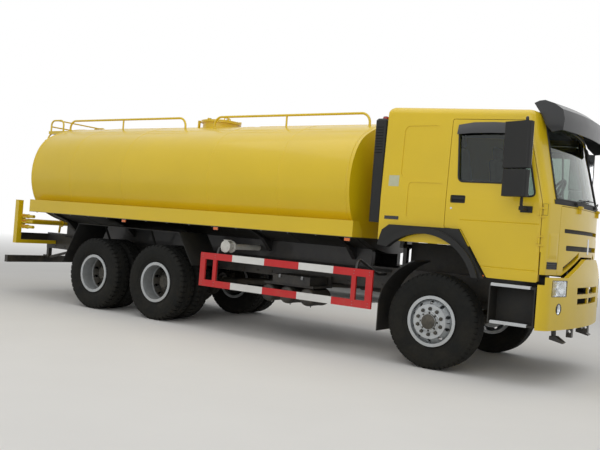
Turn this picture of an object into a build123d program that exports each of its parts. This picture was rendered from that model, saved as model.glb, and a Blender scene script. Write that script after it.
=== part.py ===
from build123d import *

import os
from math import asin, cos, degrees, radians, sin, sqrt

os.makedirs("parts", exist_ok=True)

# A three-axle tanker truck with a cab over its engine, in millimetres. +X points forward,
# +Y to the truck's left and +Z up. The ground is at z = 0 and the origin is at the middle
# of the length. Stations along the truck are given from the front axle.

# Overall dimensions
overall_length = 9450.0
front_overhang = 1450.0
body_half_width = 1250.0
wheelbase = 4325.0
bogie_spacing = 1350.0
seat_gap = 0.3

# Wheels
tyre_radius = 550.0
tyre_width = 300.0
front_wheel_y = 1011.0
twin_middle_y = 914.5
twin_spacing = 345.0
rim_flange_radius = 292.0
rim_flange_width = 262.0
rim_well_radius = 250.0
rim_wall = 12.0
disc_offset = 160.0
hub_radius = 112.0
bearing_gap = 1.0

# Steering
kingpin_y = 830.0
kingpin_radius = 24.0
pin_gap = 0.5
spindle_radius = 45.0
arm_reach = 230.0
tie_rod_radius = 22.0

# Chassis frame
frame_top = 1080.0
frame_height = 280.0
frame_half_width = 425.0
frame_flange = 80.0
frame_web = 10.0
frame_front = 1150.0
frame_rear = -7900.0

# Tank
tank_front = -1060.0
tank_rear = -7520.0
tank_middle_z = 2050.0
tank_half_width = 1220.0
tank_upper_height = 940.0
tank_lower_height = 800.0
tank_corner_y = 1010.0
tank_corner_rise = 625.0
tank_corner_drop = 540.0
tank_corner_radius = 600.0
tank_end_bulge_radius = 7000.0
tank_end_radius = 130.0
manhole_x = -4337.0
manhole_radius = 290.0
manhole_bore = 250.0
manhole_rim_z = 3080.0
manhole_depth = 330.0

# Cab shell, whose front is one wide arc between two rounded corners
cab_rear = -760.0
cab_front = 1395.0
cab_half_width = 1150.0
cab_roof_half_width = 1095.0
cab_front_arc = 3600.0
cab_corner_radius = 110.0
cab_waist_z = 1967.0
cab_top_z = 3056.0
cab_roof_front = 1125.0
cab_floor_z = 1440.0
cab_skirt_z = 1115.0
cab_wall = 50.0
panel_gap = 6.0
tunnel_half_width = 430.0
tunnel_top = 1530.0

# Cab tilt axis
tilt_x = 1340.0
tilt_z = 1000.0

# Bumper
bumper_front = 1450.0
bumper_rear = 1200.0
bumper_arc = 4500.0
bumper_corner_radius = 200.0
bumper_bottom = 620.0
bumper_wall = 45.0
bumper_gap = 22.0

front_axle_x = overall_length / 2 - front_overhang
axle_stations = [0.0, -wheelbase, -wheelbase - bogie_spacing]
frame_bottom = frame_top - frame_height
tank_bottom = tank_middle_z - tank_lower_height
tank_top = tank_middle_z + tank_upper_height


def along(y):
    """Side-view plane through the front axle at width y: local x forward, local y up."""
    return Plane(origin=(front_axle_x, y, 0), x_dir=(1, 0, 0), z_dir=(0, -1, 0))


def level(z):
    """Plan-view plane at height z: local x forward from the front axle, local y left."""
    return Plane(origin=(front_axle_x, 0, z))


def across(x):
    """Cross-section plane at station x: local x left, local y up."""
    return Plane(origin=(front_axle_x + x, 0, 0), x_dir=(0, 1, 0), z_dir=(1, 0, 0))


def at(x, y, z, turns=(0, 0, 0)):
    """A place at station x, width y and height z, turned by angles about X, Y and Z."""
    return Location((front_axle_x + x, y, z), turns)


truck = level(0)


def save(builder, node):
    """Label a finished piece and write it to its own file."""
    builder.part.label = node
    export_step(builder.part, f"parts/{node}.step")


def tube_run(points, radius, bend):
    """A round bar along a run of points from the front axle, with rounded bends."""
    with BuildPart() as bar:
        with BuildLine(truck) as path:
            if len(points) > 2:
                FilletPolyline(*points, radius=bend)
            else:
                Line(*points)
        with BuildSketch(Plane(origin=path.line @ 0, z_dir=path.line % 0)):
            Circle(radius)
        sweep(path=path.line)
    return bar.part


# Chassis frame: two channels, closed towards the outside, and their cross members
cross_members = [  # station, length along the truck, height
    (1105, 90, 200),
    (-1650, 80, 150),
    (-3300, 80, 150),
    (-5000, 320, 240),
    (-6500, 80, 200),
    (-7860, 80, 240),
]
with BuildPart() as frame_rails:
    with BuildSketch(across(frame_rear)):
        for side in (-1, 1):
            with Locations((side * (frame_half_width - frame_flange / 2), frame_top - frame_height / 2)):
                Rectangle(frame_flange, frame_height)
            with Locations((side * (frame_half_width - frame_web - frame_flange / 2), frame_top - frame_height / 2)):
                Rectangle(frame_flange, frame_height - 2 * frame_web, mode=Mode.SUBTRACT)
    extrude(amount=frame_front - frame_rear)
    for station, length, height in cross_members:
        with Locations(at(station, 0, frame_top - frame_height / 2)):
            Box(length, 2 * (frame_half_width - frame_web), height)


# Cab supports: a cross bar on two posts behind the engine, and the pivots of the tilt in front
pivot_y = 385.0
pivot_width = 70.0
pivot_pin_radius = 15.0
tilt_arm_y = 462.0
tilt_arm_width = 34.0
with frame_rails:
    for side in (-1, 1):
        with Locations(at(-735, side * (frame_half_width - 40), (frame_top + cab_floor_z - 40) / 2)):
            Box(50, 80, cab_floor_z - 40 - frame_top)
        with Locations(at(-735, side * 480, cab_floor_z - 20)):
            Box(60, 80, 40)
        with Locations(at(tilt_x, side * pivot_y, tilt_z, (90, 0, 0))):
            Cylinder(34, pivot_width)
        with Locations(at(tilt_x, side * (pivot_y + 45), tilt_z, (90, 0, 0))):
            Cylinder(pivot_pin_radius, 120)
    with Locations(at(-735, 0, cab_floor_z - 65)):
        Box(50, 1080, 50)

# Tilt arms: under the cab, from its floor down and forward to the pivots
tilt_arm_profile = [  # station, height
    (tilt_x + 24, tilt_z - 24), (tilt_x + 24, tilt_z + 24), (1110, tilt_z + 30), (1072, 1070),
    (1072, cab_floor_z), (1005, cab_floor_z), (1005, 1010), (1045, tilt_z - 30),
]
with BuildPart() as tilt_arms:
    for side in (-1, 1):
        with BuildSketch(along(side * (tilt_arm_y - tilt_arm_width / 2))):
            with BuildLine():
                Polyline(*tilt_arm_profile, close=True)
            make_face()
        extrude(amount=-side * tilt_arm_width)
        with Locations(at(tilt_x, side * tilt_arm_y, tilt_z, (90, 0, 0))):
            Cylinder(27, tilt_arm_width)
            Cylinder(pivot_pin_radius + pin_gap, tilt_arm_width, mode=Mode.SUBTRACT)
save(tilt_arms, "tilt_arms")


# Tank: one section of four arcs with rounded corners, bulged and rounded at both ends
def tank_form(grow, rear, front):
    """The tank's outer form between two stations, grown all round by a clearance."""
    y = tank_corner_y + grow
    high = tank_middle_z + tank_corner_rise + grow
    low = tank_middle_z - tank_corner_drop - grow
    widest = tank_half_width + grow
    with BuildPart() as form:
        with BuildSketch(across(rear)):
            with BuildLine():
                ThreePointArc((-y, high), (0, tank_top + grow), (y, high))
                ThreePointArc((y, high), (widest, tank_middle_z), (y, low))
                ThreePointArc((y, low), (0, tank_bottom - grow), (-y, low))
                ThreePointArc((-y, low), (-widest, tank_middle_z), (-y, high))
            make_face()
            fillet(vertices(), tank_corner_radius)
        extrude(amount=front - rear)
    return form.part


tank_cutter = tank_form(seat_gap, tank_rear - 400, tank_front + 400)
tank_shell = tank_form(0, tank_rear, tank_front)

with BuildPart() as tank:
    add(tank_shell)
    for end, direction in ((tank_front, -1), (tank_rear, 1)):
        with Locations(at(end + direction * tank_end_bulge_radius, 0, tank_middle_z)):
            Sphere(tank_end_bulge_radius, mode=Mode.INTERSECT)
    with Locations(at(manhole_x, 0, (tank_top + manhole_rim_z) / 2 - 30)):
        Cylinder(manhole_radius, manhole_rim_z - tank_top + 60)
    with Locations(at(manhole_x, 0, manhole_rim_z - 9)):
        Cylinder(manhole_radius + 30, 18)
    with Locations(at(manhole_x, 0, manhole_rim_z - manhole_depth / 2)):
        Cylinder(manhole_bore, manhole_depth, mode=Mode.SUBTRACT)

# Manhole lid: a domed cover with a rim, hinged at its rear on two lugs
lid_thickness = 16.0
lid_dome = 42.0
lid_hinge_x = manhole_x - manhole_radius - 60
lid_hinge_z = manhole_rim_z + 14
dome_foot = manhole_radius - 30
dome_radius = (dome_foot**2 + lid_dome**2) / (2 * lid_dome)
with BuildPart() as manhole_lid:
    lid_top = manhole_rim_z + 2 + lid_thickness
    with Locations(at(manhole_x, 0, lid_top + lid_dome - dome_radius)):
        Sphere(dome_radius)
    with Locations(at(manhole_x, 0, lid_top + lid_dome)):
        Cylinder(dome_foot, 2 * lid_dome + 8, mode=Mode.INTERSECT)
    with Locations(at(manhole_x, 0, lid_top - lid_thickness / 2)):
        Cylinder(manhole_radius + 30, lid_thickness)
    with Locations(at(manhole_x, 0, lid_top + 6)):
        with PolarLocations(manhole_radius + 12, 6, start_angle=30):
            Box(44, 26, 26)
    add(tube_run([(manhole_x + 120, -70, lid_top + 20), (manhole_x + 120, -70, lid_top + 62),
                  (manhole_x + 120, 70, lid_top + 62), (manhole_x + 120, 70, lid_top + 20)], 8, 20))
    for side in (-1, 1):
        with Locations(at((manhole_x - manhole_radius + lid_hinge_x) / 2, side * 90, lid_hinge_z)):
            Box(manhole_x - manhole_radius - lid_hinge_x + 60, 24, 12)
        with Locations(at(lid_hinge_x, side * 90, lid_hinge_z, (90, 0, 0))):
            Cylinder(18, 24)
            Cylinder(8 + pin_gap, 24, mode=Mode.SUBTRACT)
save(manhole_lid, "manhole_lid")

# The tank's own hinge posts and pin stand behind the manhole
with tank:
    with Locations(at(lid_hinge_x, 0, lid_hinge_z, (90, 0, 0))):
        Cylinder(8, 300)
    for side in (-1, 1):
        with Locations(at(lid_hinge_x, side * 135, (lid_hinge_z + tank_top - 60) / 2)):
            Box(34, 26, lid_hinge_z - tank_top + 60 + 30)
save(tank, "tank")


# Tank cradle: two long bearers on the frame with saddles that fit the tank
saddle_stations = [-1500, -2900, -4300, -5700, -7150]
bearer_width = 90.0
with BuildPart() as tank_cradle:
    for side in (-1, 1):
        with Locations(at((tank_front + tank_rear) / 2, side * (frame_half_width - bearer_width / 2), frame_top + 120)):
            Box(tank_front - tank_rear - 300, bearer_width, 240)
    for station in saddle_stations:
        with BuildSketch(across(station)):
            with BuildLine():
                Polyline((-380, frame_top + 10), (380, frame_top + 10), (380, 1100), (590, 1270), (650, 1318),
                         (1000, 1440), (1000, 1620), (-1000, 1620), (-1000, 1440), (-650, 1318), (-590, 1270),
                         (-380, 1100), close=True)
            make_face()
        extrude(amount=60)
    add(tank_cutter, mode=Mode.SUBTRACT)
save(tank_cradle, "tank_cradle")

# Side trays: an inward channel along each flank of the tank, with stiffening webs
tray_rear = -7350.0
tray_front = -1057.0
tray_top = 1640.0
tray_bottom = 1435.0
tray_plate = 8.0
marker_stations = [-5050, -3226, -1126]
tray_webs = [-7342, -6300, -5240, -4180, -3120, -2060, -1065]
with BuildPart() as side_trays:
    for side in (-1, 1):
        with BuildSketch(across(tray_rear)):
            with BuildLine():
                Polyline(
                    (side * 1000, tray_top),
                    (side * body_half_width, tray_top),
                    (side * body_half_width, tray_bottom),
                    (side * (body_half_width - 70), tray_bottom),
                    (side * (body_half_width - 70), tray_bottom + tray_plate),
                    (side * (body_half_width - tray_plate), tray_bottom + tray_plate),
                    (side * (body_half_width - tray_plate), tray_top - tray_plate),
                    (side * 1000, tray_top - tray_plate),
                    close=True,
                )
            make_face()
        extrude(amount=tray_front - tray_rear)
        for station in tray_webs:
            with Locations(at(station, side * 1125, (tray_top + tray_bottom) / 2)):
                Box(tray_plate, 2 * (body_half_width - 1125), tray_top - tray_bottom)
        for station in marker_stations:
            with Locations(at(station, side * (body_half_width - 12), tray_bottom - 24)):
                Box(90, 6, 50)
            with Locations(at(station, side * (body_half_width - 7), tray_bottom - 28)):
                Box(70, 14, 30)
    add(tank_cutter, mode=Mode.SUBTRACT)
save(side_trays, "side_trays")

# Top rails: two guard tubes on each side, on posts that stand on the tank
rail_y = 500.0
rail_z = 3090.0
rail_radius = 17.0
rail_runs = [(-7400, -4640, (-6050,)), (-4040, -1350, (-2700,))]  # rear end, front end, posts between
with BuildPart() as top_rails:
    for side in (-1, 1):
        for rear, front, posts in rail_runs:
            add(tube_run([(rear, side * rail_y, tank_top - 150), (rear, side * rail_y, rail_z),
                          (front, side * rail_y, rail_z), (front, side * rail_y, tank_top - 150)], rail_radius, 130))
            for station in posts:
                with Locations(at(station, side * rail_y, (rail_z + tank_top - 150) / 2)):
                    Cylinder(rail_radius - 3, rail_z - tank_top + 150)
    add(tank_cutter, mode=Mode.SUBTRACT)
save(top_rails, "top_rails")

# Rear ladder, working platform and grab hoops behind the tank
platform_z = 2918.0
platform_rear = -8000.0
ladder_x = -7800.0
ladder_half = 210.0
with BuildPart() as rear_ladder:
    for side in (-1, 1):
        add(tube_run([(frame_rear + 40, side * ladder_half, frame_top), (ladder_x, side * ladder_half, 1500),
                      (ladder_x, side * ladder_half, platform_z - 52)], 20, 300))
    for step in range(6):
        with Locations(at(ladder_x, 0, 1560 + step * 230)):
            Box(40, 2 * ladder_half, 24)
save(rear_ladder, "rear_ladder")

hoop_half = 480.0
with BuildPart() as rear_platform:
    with Locations(at((platform_rear + tank_rear + 60) / 2, 0, platform_z - 6)):
        Box(tank_rear + 60 - platform_rear, 1000, 12)
    for side in (-1, 1):
        with Locations(at((platform_rear + tank_rear + 60) / 2, side * 470, platform_z - 32)):
            Box(tank_rear + 60 - platform_rear, 60, 40)
        add(tube_run([(-7960, side * hoop_half, platform_z - 20), (-7960, side * hoop_half, 3110),
                      (-7620, side * hoop_half, 3110), (-7620, side * hoop_half, platform_z - 20)], 15, 90))
    for station in (platform_rear + 30, ladder_x):
        with Locations(at(station, 0, platform_z - 32)):
            Box(50, 900, 40)
    for station, height in ((-7960, 3000), (-7790, 3110)):
        with Locations(at(station, 0, height, (90, 0, 0))):
            Cylinder(12, 2 * hoop_half)
    add(tank.part, mode=Mode.SUBTRACT)
save(rear_platform, "rear_platform")

# Rear pipework: corner post, delivery pipe across the tail and three branch pipes with lever valves
pipe_rows = [1170, 1260, 1350]  # heights of the branch pipes
pipe_x = -7700.0
delivery_z = 1260.0
delivery_radius = 45.0
delivery_end = 700.0
hose_radius = 40.0
hose_end = 60.0
post_y = -1200.0
with BuildPart() as rear_pipework:
    with Locations(at(pipe_x, post_y, 1250)):
        Box(90, 90, 740)
    with Locations(at(pipe_x, -835, 910)):
        Box(90, 820, 60)
    with Locations(at(pipe_x, (post_y + delivery_end - hose_end) / 2, delivery_z, (90, 0, 0))):
        Cylinder(delivery_radius, delivery_end - hose_end - post_y)
    with Locations(at(pipe_x, delivery_end - hose_end / 2, delivery_z, (90, 0, 0))):
        Cylinder(hose_radius, hose_end)
    for y in (delivery_end - 90, -300, -1100):
        with Locations(at(pipe_x, y, delivery_z, (90, 0, 0))):
            Cylinder(delivery_radius + 25, 16)
    for height in pipe_rows:
        add(tube_run([(pipe_x, -1150, height), (-7345, -1150, height)], 26, 20))
        with Locations(at(-7560, -1150, height)):
            Box(90, 70, 64)
        with Locations(at(-7560, -1200, height)):
            Box(24, 40, 14)
        for station in (-7620, -7500):
            with Locations(at(station, -1150, height, (0, 90, 0))):
                Cylinder(36, 14)
save(rear_pipework, "rear_pipework")

# Axles
beam_height = 100.0
beam_drop_z = 430.0
boss_radius = 46.0
boss_half_height = 48.0
with BuildPart() as front_axle:
    with BuildSketch(across(-40)):
        with BuildLine():
            Polyline((0, beam_drop_z - 50), (520, beam_drop_z - 50), (720, tyre_radius - 44),
                     (kingpin_y - 20, tyre_radius - 44), (kingpin_y - 20, tyre_radius + 44), (690, tyre_radius + 44),
                     (490, beam_drop_z + 50), (0, beam_drop_z + 50), close=True)
        make_face()
    extrude(amount=80)
    mirror(about=Plane.XZ)
    for side in (-1, 1):
        with Locations(at(0, side * kingpin_y, tyre_radius)):
            Cylinder(boss_radius, 2 * boss_half_height)
            Cylinder(kingpin_radius + pin_gap, 2 * boss_half_height, mode=Mode.SUBTRACT)
save(front_axle, "front_axle")

axle_pad_z = 652.0
with BuildPart() as rear_axles:
    for station in axle_stations[1:]:
        with Locations(at(station, 0, tyre_radius, (90, 0, 0))):
            Cylinder(72, 1240)
            Cylinder(spindle_radius, 1960)
            Cylinder(205, 150)
        with Locations(at(station + 110, 0, tyre_radius + 40, (0, 90, 0))):
            Cylinder(120, 300)
        with Locations(at(station - 115, 0, tyre_radius + 110, (0, 90, 0))):
            Cylinder(62, 230)
        for side in (-1, 1):
            with Locations(at(station, side * 505, axle_pad_z - 30)):
                Box(150, 90, 60)
save(rear_axles, "rear_axles")

# Springs: stacks of leaves, the front pair under the rails and the rear pair on a trunnion
leaf_thickness = 16.0
front_leaf_width = 76.0
front_spring_y = 390.0
front_leaf_radius = 2000.0
front_leaves = [380, 500, 620, 730, 800]  # half lengths from the axle up
hanger_half = 45.0
with BuildPart() as front_springs:
    for side in (-1, 1):
        for row, half in enumerate(front_leaves):
            foot = beam_drop_z + beam_height / 2 + seat_gap + row * leaf_thickness
            lift = half**2 / (2 * front_leaf_radius)
            with BuildSketch(along(side * front_spring_y + front_leaf_width / 2)):
                with BuildLine():
                    ThreePointArc((-half, foot + lift), (0, foot), (half, foot + lift))
                    Line((half, foot + lift), (half, foot + lift + leaf_thickness))
                    ThreePointArc((half, foot + lift + leaf_thickness), (0, foot + leaf_thickness),
                                  (-half, foot + lift + leaf_thickness))
                    Line((-half, foot + lift + leaf_thickness), (-half, foot + lift))
                make_face()
            extrude(amount=front_leaf_width)
        eye_z = foot + lift + leaf_thickness / 2
        hanger_height = frame_bottom - seat_gap - eye_z + 20
        for station in (-790, 790):
            with Locations(at(station, side * front_spring_y, eye_z - 20 + hanger_height / 2)):
                Box(2 * hanger_half, front_leaf_width - 8, hanger_height)
            with Locations(at(station, side * front_spring_y, eye_z, (90, 0, 0))):
                Cylinder(26, front_leaf_width)
save(front_springs, "front_springs")

bogie_x = -wheelbase - bogie_spacing / 2
rear_leaf_width = 86.0
rear_spring_y = 505.0
rear_leaves = [740, 740, 650, 560, 470, 380, 290, 200]  # half lengths from the axles up
with BuildPart() as rear_springs:
    for side in (-1, 1):
        for row, half in enumerate(rear_leaves):
            with Locations(at(bogie_x, side * rear_spring_y, axle_pad_z + (row + 0.5) * leaf_thickness)):
                Box(2 * half, rear_leaf_width, leaf_thickness)
        for station in (-110, 110):
            for offset_y in (-1, 1):
                with Locations(at(bogie_x + station, side * rear_spring_y + offset_y * (rear_leaf_width / 2 + 9), 730)):
                    Cylinder(10, 230)
        with Locations(at(bogie_x, side * (frame_half_width + 42.5), 690)):
            Box(260, 85, 360)
        with Locations(at(bogie_x, side * rear_spring_y, 810)):
            Box(280, 100, 50)
    with Locations(at(bogie_x, 0, 560, (90, 0, 0))):
        Cylinder(50, 960)
save(rear_springs, "rear_springs")


# Wheels, as half profiles turned about the axle: local x outboard, local y the radius
def hub_plane(station, y, side):
    """Plane at a wheel's centre: local x points away from the truck, local y up."""
    return Plane(origin=(front_axle_x + station, y, tyre_radius), x_dir=(0, side, 0), z_dir=(side, 0, 0))


def hub_axis(station):
    """The axle line of a wheel."""
    return Axis((front_axle_x + station, 0, tyre_radius), (0, 1, 0))


bead_half_width = rim_flange_width / 2 - 22
barrel_radius = rim_flange_radius - 28
tread_half_width = 112.0


def tyre_ring(station, y, side):
    """A tyre filled to its bead, seated on the rim's barrel."""
    plane = hub_plane(station, y, side)
    with BuildPart() as ring:
        with BuildSketch(plane):
            with BuildLine():
                seat = barrel_radius + seat_gap
                half = tyre_width / 2
                Polyline((-bead_half_width, rim_flange_radius + 14), (-bead_half_width, seat), (bead_half_width, seat),
                         (bead_half_width, rim_flange_radius + 14))
                ThreePointArc((bead_half_width, rim_flange_radius + 14), (half - 6, 360), (half, 430))
                Polyline((half, 430), (half - 16, tyre_radius - 22), (tread_half_width, tyre_radius),
                         (-tread_half_width, tyre_radius), (16 - half, tyre_radius - 22), (-half, 430))
                ThreePointArc((-half, 430), (6 - half, 360), (-bead_half_width, rim_flange_radius + 14))
            make_face()
        revolve(axis=hub_axis(station))
    return ring.part


def rim_ring(station, y, side):
    """A dished steel rim: barrel, two flanges, cone, disc and its ring of hand holes."""
    plane = hub_plane(station, y, side)
    flange = rim_flange_width / 2
    inner = barrel_radius - rim_wall
    with BuildPart() as ring:
        with BuildSketch(plane):
            with BuildLine():
                Polyline(
                    (-flange, inner), (60, inner), (disc_offset, 190), (disc_offset, 70),
                    (disc_offset + rim_wall, 70), (disc_offset + rim_wall, 196), (78, inner + 4), (flange, inner + 4),
                    (flange, rim_flange_radius), (flange - 12, rim_flange_radius), (bead_half_width, rim_flange_radius - 8),
                    (bead_half_width, barrel_radius), (-bead_half_width, barrel_radius),
                    (-bead_half_width, rim_flange_radius - 8), (12 - flange, rim_flange_radius),
                    (-flange, rim_flange_radius), close=True,
                )
            make_face()
        revolve(axis=hub_axis(station))
        with Locations(Plane(origin=plane.origin, z_dir=(0, side, 0))):
            with PolarLocations(218, 10):
                Cylinder(20, 2 * disc_offset + 60, mode=Mode.SUBTRACT)
    return ring.part


def hub_body(station, side, stages):
    """Hub and brake drum in turned stages, each (start y, end y, radius), bored for its spindle."""
    with BuildPart(Plane(origin=(front_axle_x + station, 0, tyre_radius), z_dir=(0, side, 0))) as hub:
        for start, end, radius in stages:
            with Locations((0, 0, (start + end) / 2)):
                Cylinder(radius, end - start)
        bore_start = stages[0][0] - 10
        bore_end = stages[-1][0]
        with Locations((0, 0, (bore_start + bore_end) / 2)):
            Cylinder(spindle_radius + bearing_gap, bore_end - bore_start, mode=Mode.SUBTRACT)
    return hub.part


front_hub = [(912, 1040, 205), (1040, 1195, 112), (1195, 1218, 88)]  # start y, end y, radius
rear_hub = [(650, 790, 205), (790, 1010, 112), (1010, 1035, 84)]
sides = [("left", 1), ("right", -1)]

for name, side in sides:
    with BuildPart() as front_tyre:
        add(tyre_ring(0, side * front_wheel_y, side))
    save(front_tyre, f"front_tyre_{name}")
    with BuildPart() as front_rim:
        add(rim_ring(0, side * front_wheel_y, side))
        add(hub_body(0, side, front_hub))
    save(front_rim, f"front_rim_{name}")

rear_axle_names = [("middle", axle_stations[1]), ("rear", axle_stations[2])]
for axle, station in rear_axle_names:
    for name, side in sides:
        inner_y = side * (twin_middle_y - twin_spacing / 2)
        outer_y = side * (twin_middle_y + twin_spacing / 2)
        with BuildPart() as twin_tyres:
            add(tyre_ring(station, inner_y, side))
            add(tyre_ring(station, outer_y, side))
        save(twin_tyres, f"{axle}_tyres_{name}")
        with BuildPart() as twin_rims:
            add(rim_ring(station, inner_y, side))
            add(rim_ring(station, outer_y, -side))
            add(hub_body(station, side, rear_hub))
        save(twin_rims, f"{axle}_rims_{name}")

# Knuckles: two ears about the beam's end, a spindle and a steering arm with its ball pin
ear_thickness = 44.0
ear_z = boss_half_height + 1 + ear_thickness / 2
arm_z = tyre_radius - ear_z
tie_rod_z = arm_z - 42
rod_end_y = kingpin_y
for name, side in sides:
    with BuildPart() as knuckle:
        for end in (-1, 1):
            with Locations(at(0, side * kingpin_y, tyre_radius + end * ear_z)):
                Cylinder(boss_radius, ear_thickness)
            with Locations(at(0, side * (kingpin_y + 37), tyre_radius + end * ear_z)):
                Box(2 * boss_radius, 74, ear_thickness)
        with Locations(at(0, side * 893, tyre_radius)):
            Box(2 * boss_radius, 22, 2 * ear_z + ear_thickness)
        with Locations(at(0, side * kingpin_y, tyre_radius)):
            Cylinder(kingpin_radius, 2 * ear_z)
        with Locations(at(0, side * 1037, tyre_radius, (90, 0, 0))):
            Cylinder(spindle_radius, 300)
        add(tube_run([(-20, side * kingpin_y, arm_z), (-arm_reach, side * rod_end_y, arm_z)], 19, 10))
        with Locations(at(-arm_reach, side * rod_end_y, arm_z)):
            Cylinder(24, 40)
        with Locations(at(-arm_reach, side * rod_end_y, arm_z - 32)):
            Cylinder(10, 64)
    save(knuckle, f"knuckle_{name}")

with BuildPart() as tie_rod:
    with Locations(at(-arm_reach, 0, tie_rod_z, (90, 0, 0))):
        Cylinder(tie_rod_radius, 2 * rod_end_y)
    for side in (-1, 1):
        with Locations(at(-arm_reach, side * rod_end_y, tie_rod_z)):
            Cylinder(27, 34)
            Cylinder(10 + pin_gap, 60, mode=Mode.SUBTRACT)
save(tie_rod, "tie_rod")

# Engine, radiator and driveline
with BuildPart() as engine_block:
    with Locations(at(-100, 0, 1060)):
        Box(1200, 620, 740)
    with Locations(at(-100, 0, 900)):
        Box(160, 2 * (frame_half_width - frame_web), 80)
save(engine_block, "engine_block")

with BuildPart() as radiator:
    with Locations(at(840, 0, 1110)):
        Box(110, 660, 640)
    with Locations(at(770, 0, 1110)):
        Box(30, 600, 560)
    with Locations(at(840, 0, 940)):
        Box(60, 2 * (frame_half_width - frame_web), 30)
save(radiator, "radiator")

axle_nose_x = 260.0
axle_nose_z = tyre_radius + 40
through_shaft_z = 668.0
with BuildPart() as driveline:
    add(tube_run([(-700, 0, 860), (-1150, 0, 860)], 200, 10))
    add(tube_run([(-1150, 0, 860), (-1540, 0, 860)], 150, 10))
    add(tube_run([(-1530, 0, 780), (axle_stations[1] + axle_nose_x + 30, 0, axle_nose_z)], 48, 10))
    with Locations(at(axle_stations[1] + axle_nose_x + 20, 0, axle_nose_z, (0, 90, 0))):
        Cylinder(80, 40)
    add(tube_run([(axle_stations[1] - 230, 0, through_shaft_z),
                  (axle_stations[2] + axle_nose_x, 0, through_shaft_z)], 36, 10))
save(driveline, "driveline")


# Cab body: a plan outline with an arched front, raised straight to the waist and then drawn
# in towards the roof
def arched_outline(z, rear, front, half_width, arc, corner):
    """Plan outline at height z: straight sides, one wide arc in front and rounded front corners."""
    set_back = arc - sqrt(arc**2 - half_width**2)
    with BuildSketch(level(z)) as outline:
        with BuildLine():
            ThreePointArc((front - set_back, -half_width), (front, 0), (front - set_back, half_width))
            Polyline((front - set_back, half_width), (rear, half_width), (rear, -half_width),
                     (front - set_back, -half_width))
        make_face()
        fillet(outline.vertices().sort_by(Axis.X)[-2:], corner)
    return outline.sketch


roof_fall = 77.0
roof_edge_radius = 90.0


def cab_form(inset, bottom, roof_rounded=False):
    """The cab's closed body shrunk by an inset, down to a given height."""
    rear = cab_rear + inset
    corner = cab_corner_radius - inset
    with BuildPart() as form:
        waist = arched_outline(cab_waist_z, rear, cab_front - inset, cab_half_width - inset, cab_front_arc, corner)
        head = arched_outline(cab_top_z, rear, cab_roof_front - inset, cab_roof_half_width - inset, cab_front_arc, corner)
        extrude(waist, amount=bottom - cab_waist_z)
        loft(sections=[waist, head])
        with BuildSketch(along(0)):
            with BuildLine():
                Polyline((cab_rear - 100, cab_top_z - inset), (cab_front + 100, cab_top_z - inset - roof_fall * 1.28),
                         (cab_front + 100, cab_top_z + 200), (cab_rear - 100, cab_top_z + 200), close=True)
            make_face()
        extrude(amount=2 * cab_half_width, both=True, mode=Mode.SUBTRACT)
        if roof_rounded:
            fillet(form.faces().sort_by(Axis.Z)[-1].edges(), roof_edge_radius - inset)
    return form.part


cab_outer = cab_form(0, cab_floor_z, roof_rounded=True)
cab_lining = cab_form(cab_wall, cab_floor_z + cab_wall, roof_rounded=True)
door_outer = cab_form(0, cab_skirt_z)
door_lining = cab_form(cab_wall, cab_skirt_z - 10)


# Outlines seen from the side or the front, grown by a clearance
def side_outline(y, points, corner, grow):
    """A panel's outline in side view, with rounded corners."""
    with BuildSketch(along(y)) as outline:
        with BuildLine():
            Polyline(*points, close=True)
        make_face()
        fillet(outline.vertices(), corner)
        if grow:
            offset(amount=grow, kind=Kind.INTERSECTION)
    return outline.sketch


def front_outline_of(x, points, corner, grow):
    """A panel's outline in front view, with rounded corners."""
    with BuildSketch(across(x)) as outline:
        with BuildLine():
            Polyline(*points, close=True)
        make_face()
        fillet(outline.vertices(), corner)
        if grow:
            offset(amount=grow, kind=Kind.INTERSECTION)
    return outline.sketch


door_points = [(78, 1633), (78, 2878), (938, 2850), (1160, 1966), (1168, cab_skirt_z), (614, cab_skirt_z), (284, 1625)]
window_points = [(157, 2800), (205, 2165), (763, 2160), (800, 2025), (1085, 2025), (915, 2790)]
screen_points = [(-960, 2020), (960, 2020), (890, 2850), (-890, 2850)]
flap_half_width = 860.0
flap_top = 1950.0
flap_hinge_x = 1400.0
flap_hinge_z = 1962.0
flap_hinge_y = 420.0
flap_pin_radius = 6.0
door_hinge_x = 1158.0
door_hinge_out = 15.0
door_hinge_heights = (1560, 1860)
door_pin_radius = 6.0


bumper_crown_half = 260.0
bumper_shoulder_half = 760.0
bumper_crown_z = 1391.0
bumper_shoulder_z = 1180.0


def bumper_top(y):
    """Height of the bumper's arched upper edge at a width, on the straight pieces."""
    share = min(max((abs(y) - bumper_crown_half) / (bumper_shoulder_half - bumper_crown_half), 0), 1)
    return bumper_crown_z + share * (bumper_shoulder_z - bumper_crown_z)


arch_stations = [-bumper_shoulder_half, -bumper_crown_half, bumper_crown_half, bumper_shoulder_half]
flap_points = (
    [(-flap_half_width, flap_top), (-flap_half_width, bumper_top(flap_half_width) + bumper_gap)]
    + [(y, bumper_top(y) + bumper_gap) for y in arch_stations]
    + [(flap_half_width, bumper_top(flap_half_width) + bumper_gap), (flap_half_width, flap_top)]
)

# Solid tools that pass through one side or through the front
def through_side(sketch, side, reach):
    """The side outline driven through one flank, from |y| = 900 out by a reach."""
    with BuildPart() as tool:
        extrude(sketch, amount=-side * reach)
    return tool.part


with BuildPart() as screen_tool:
    extrude(front_outline_of(700, screen_points, 60, 0), amount=900)

with BuildPart() as flap_tool:
    extrude(front_outline_of(900, flap_points, 12, panel_gap), amount=700)
with BuildPart() as flap_recess:
    add(flap_tool.part)
    add(cab_form(cab_wall + panel_gap, 1140), mode=Mode.SUBTRACT)

door_lug_profile = [(1151, 1157), (1151, 1174), (1176, 1174), (1200, 1142), (1200, 1112), (1176, 1112), (1176, 1157)]

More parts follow.
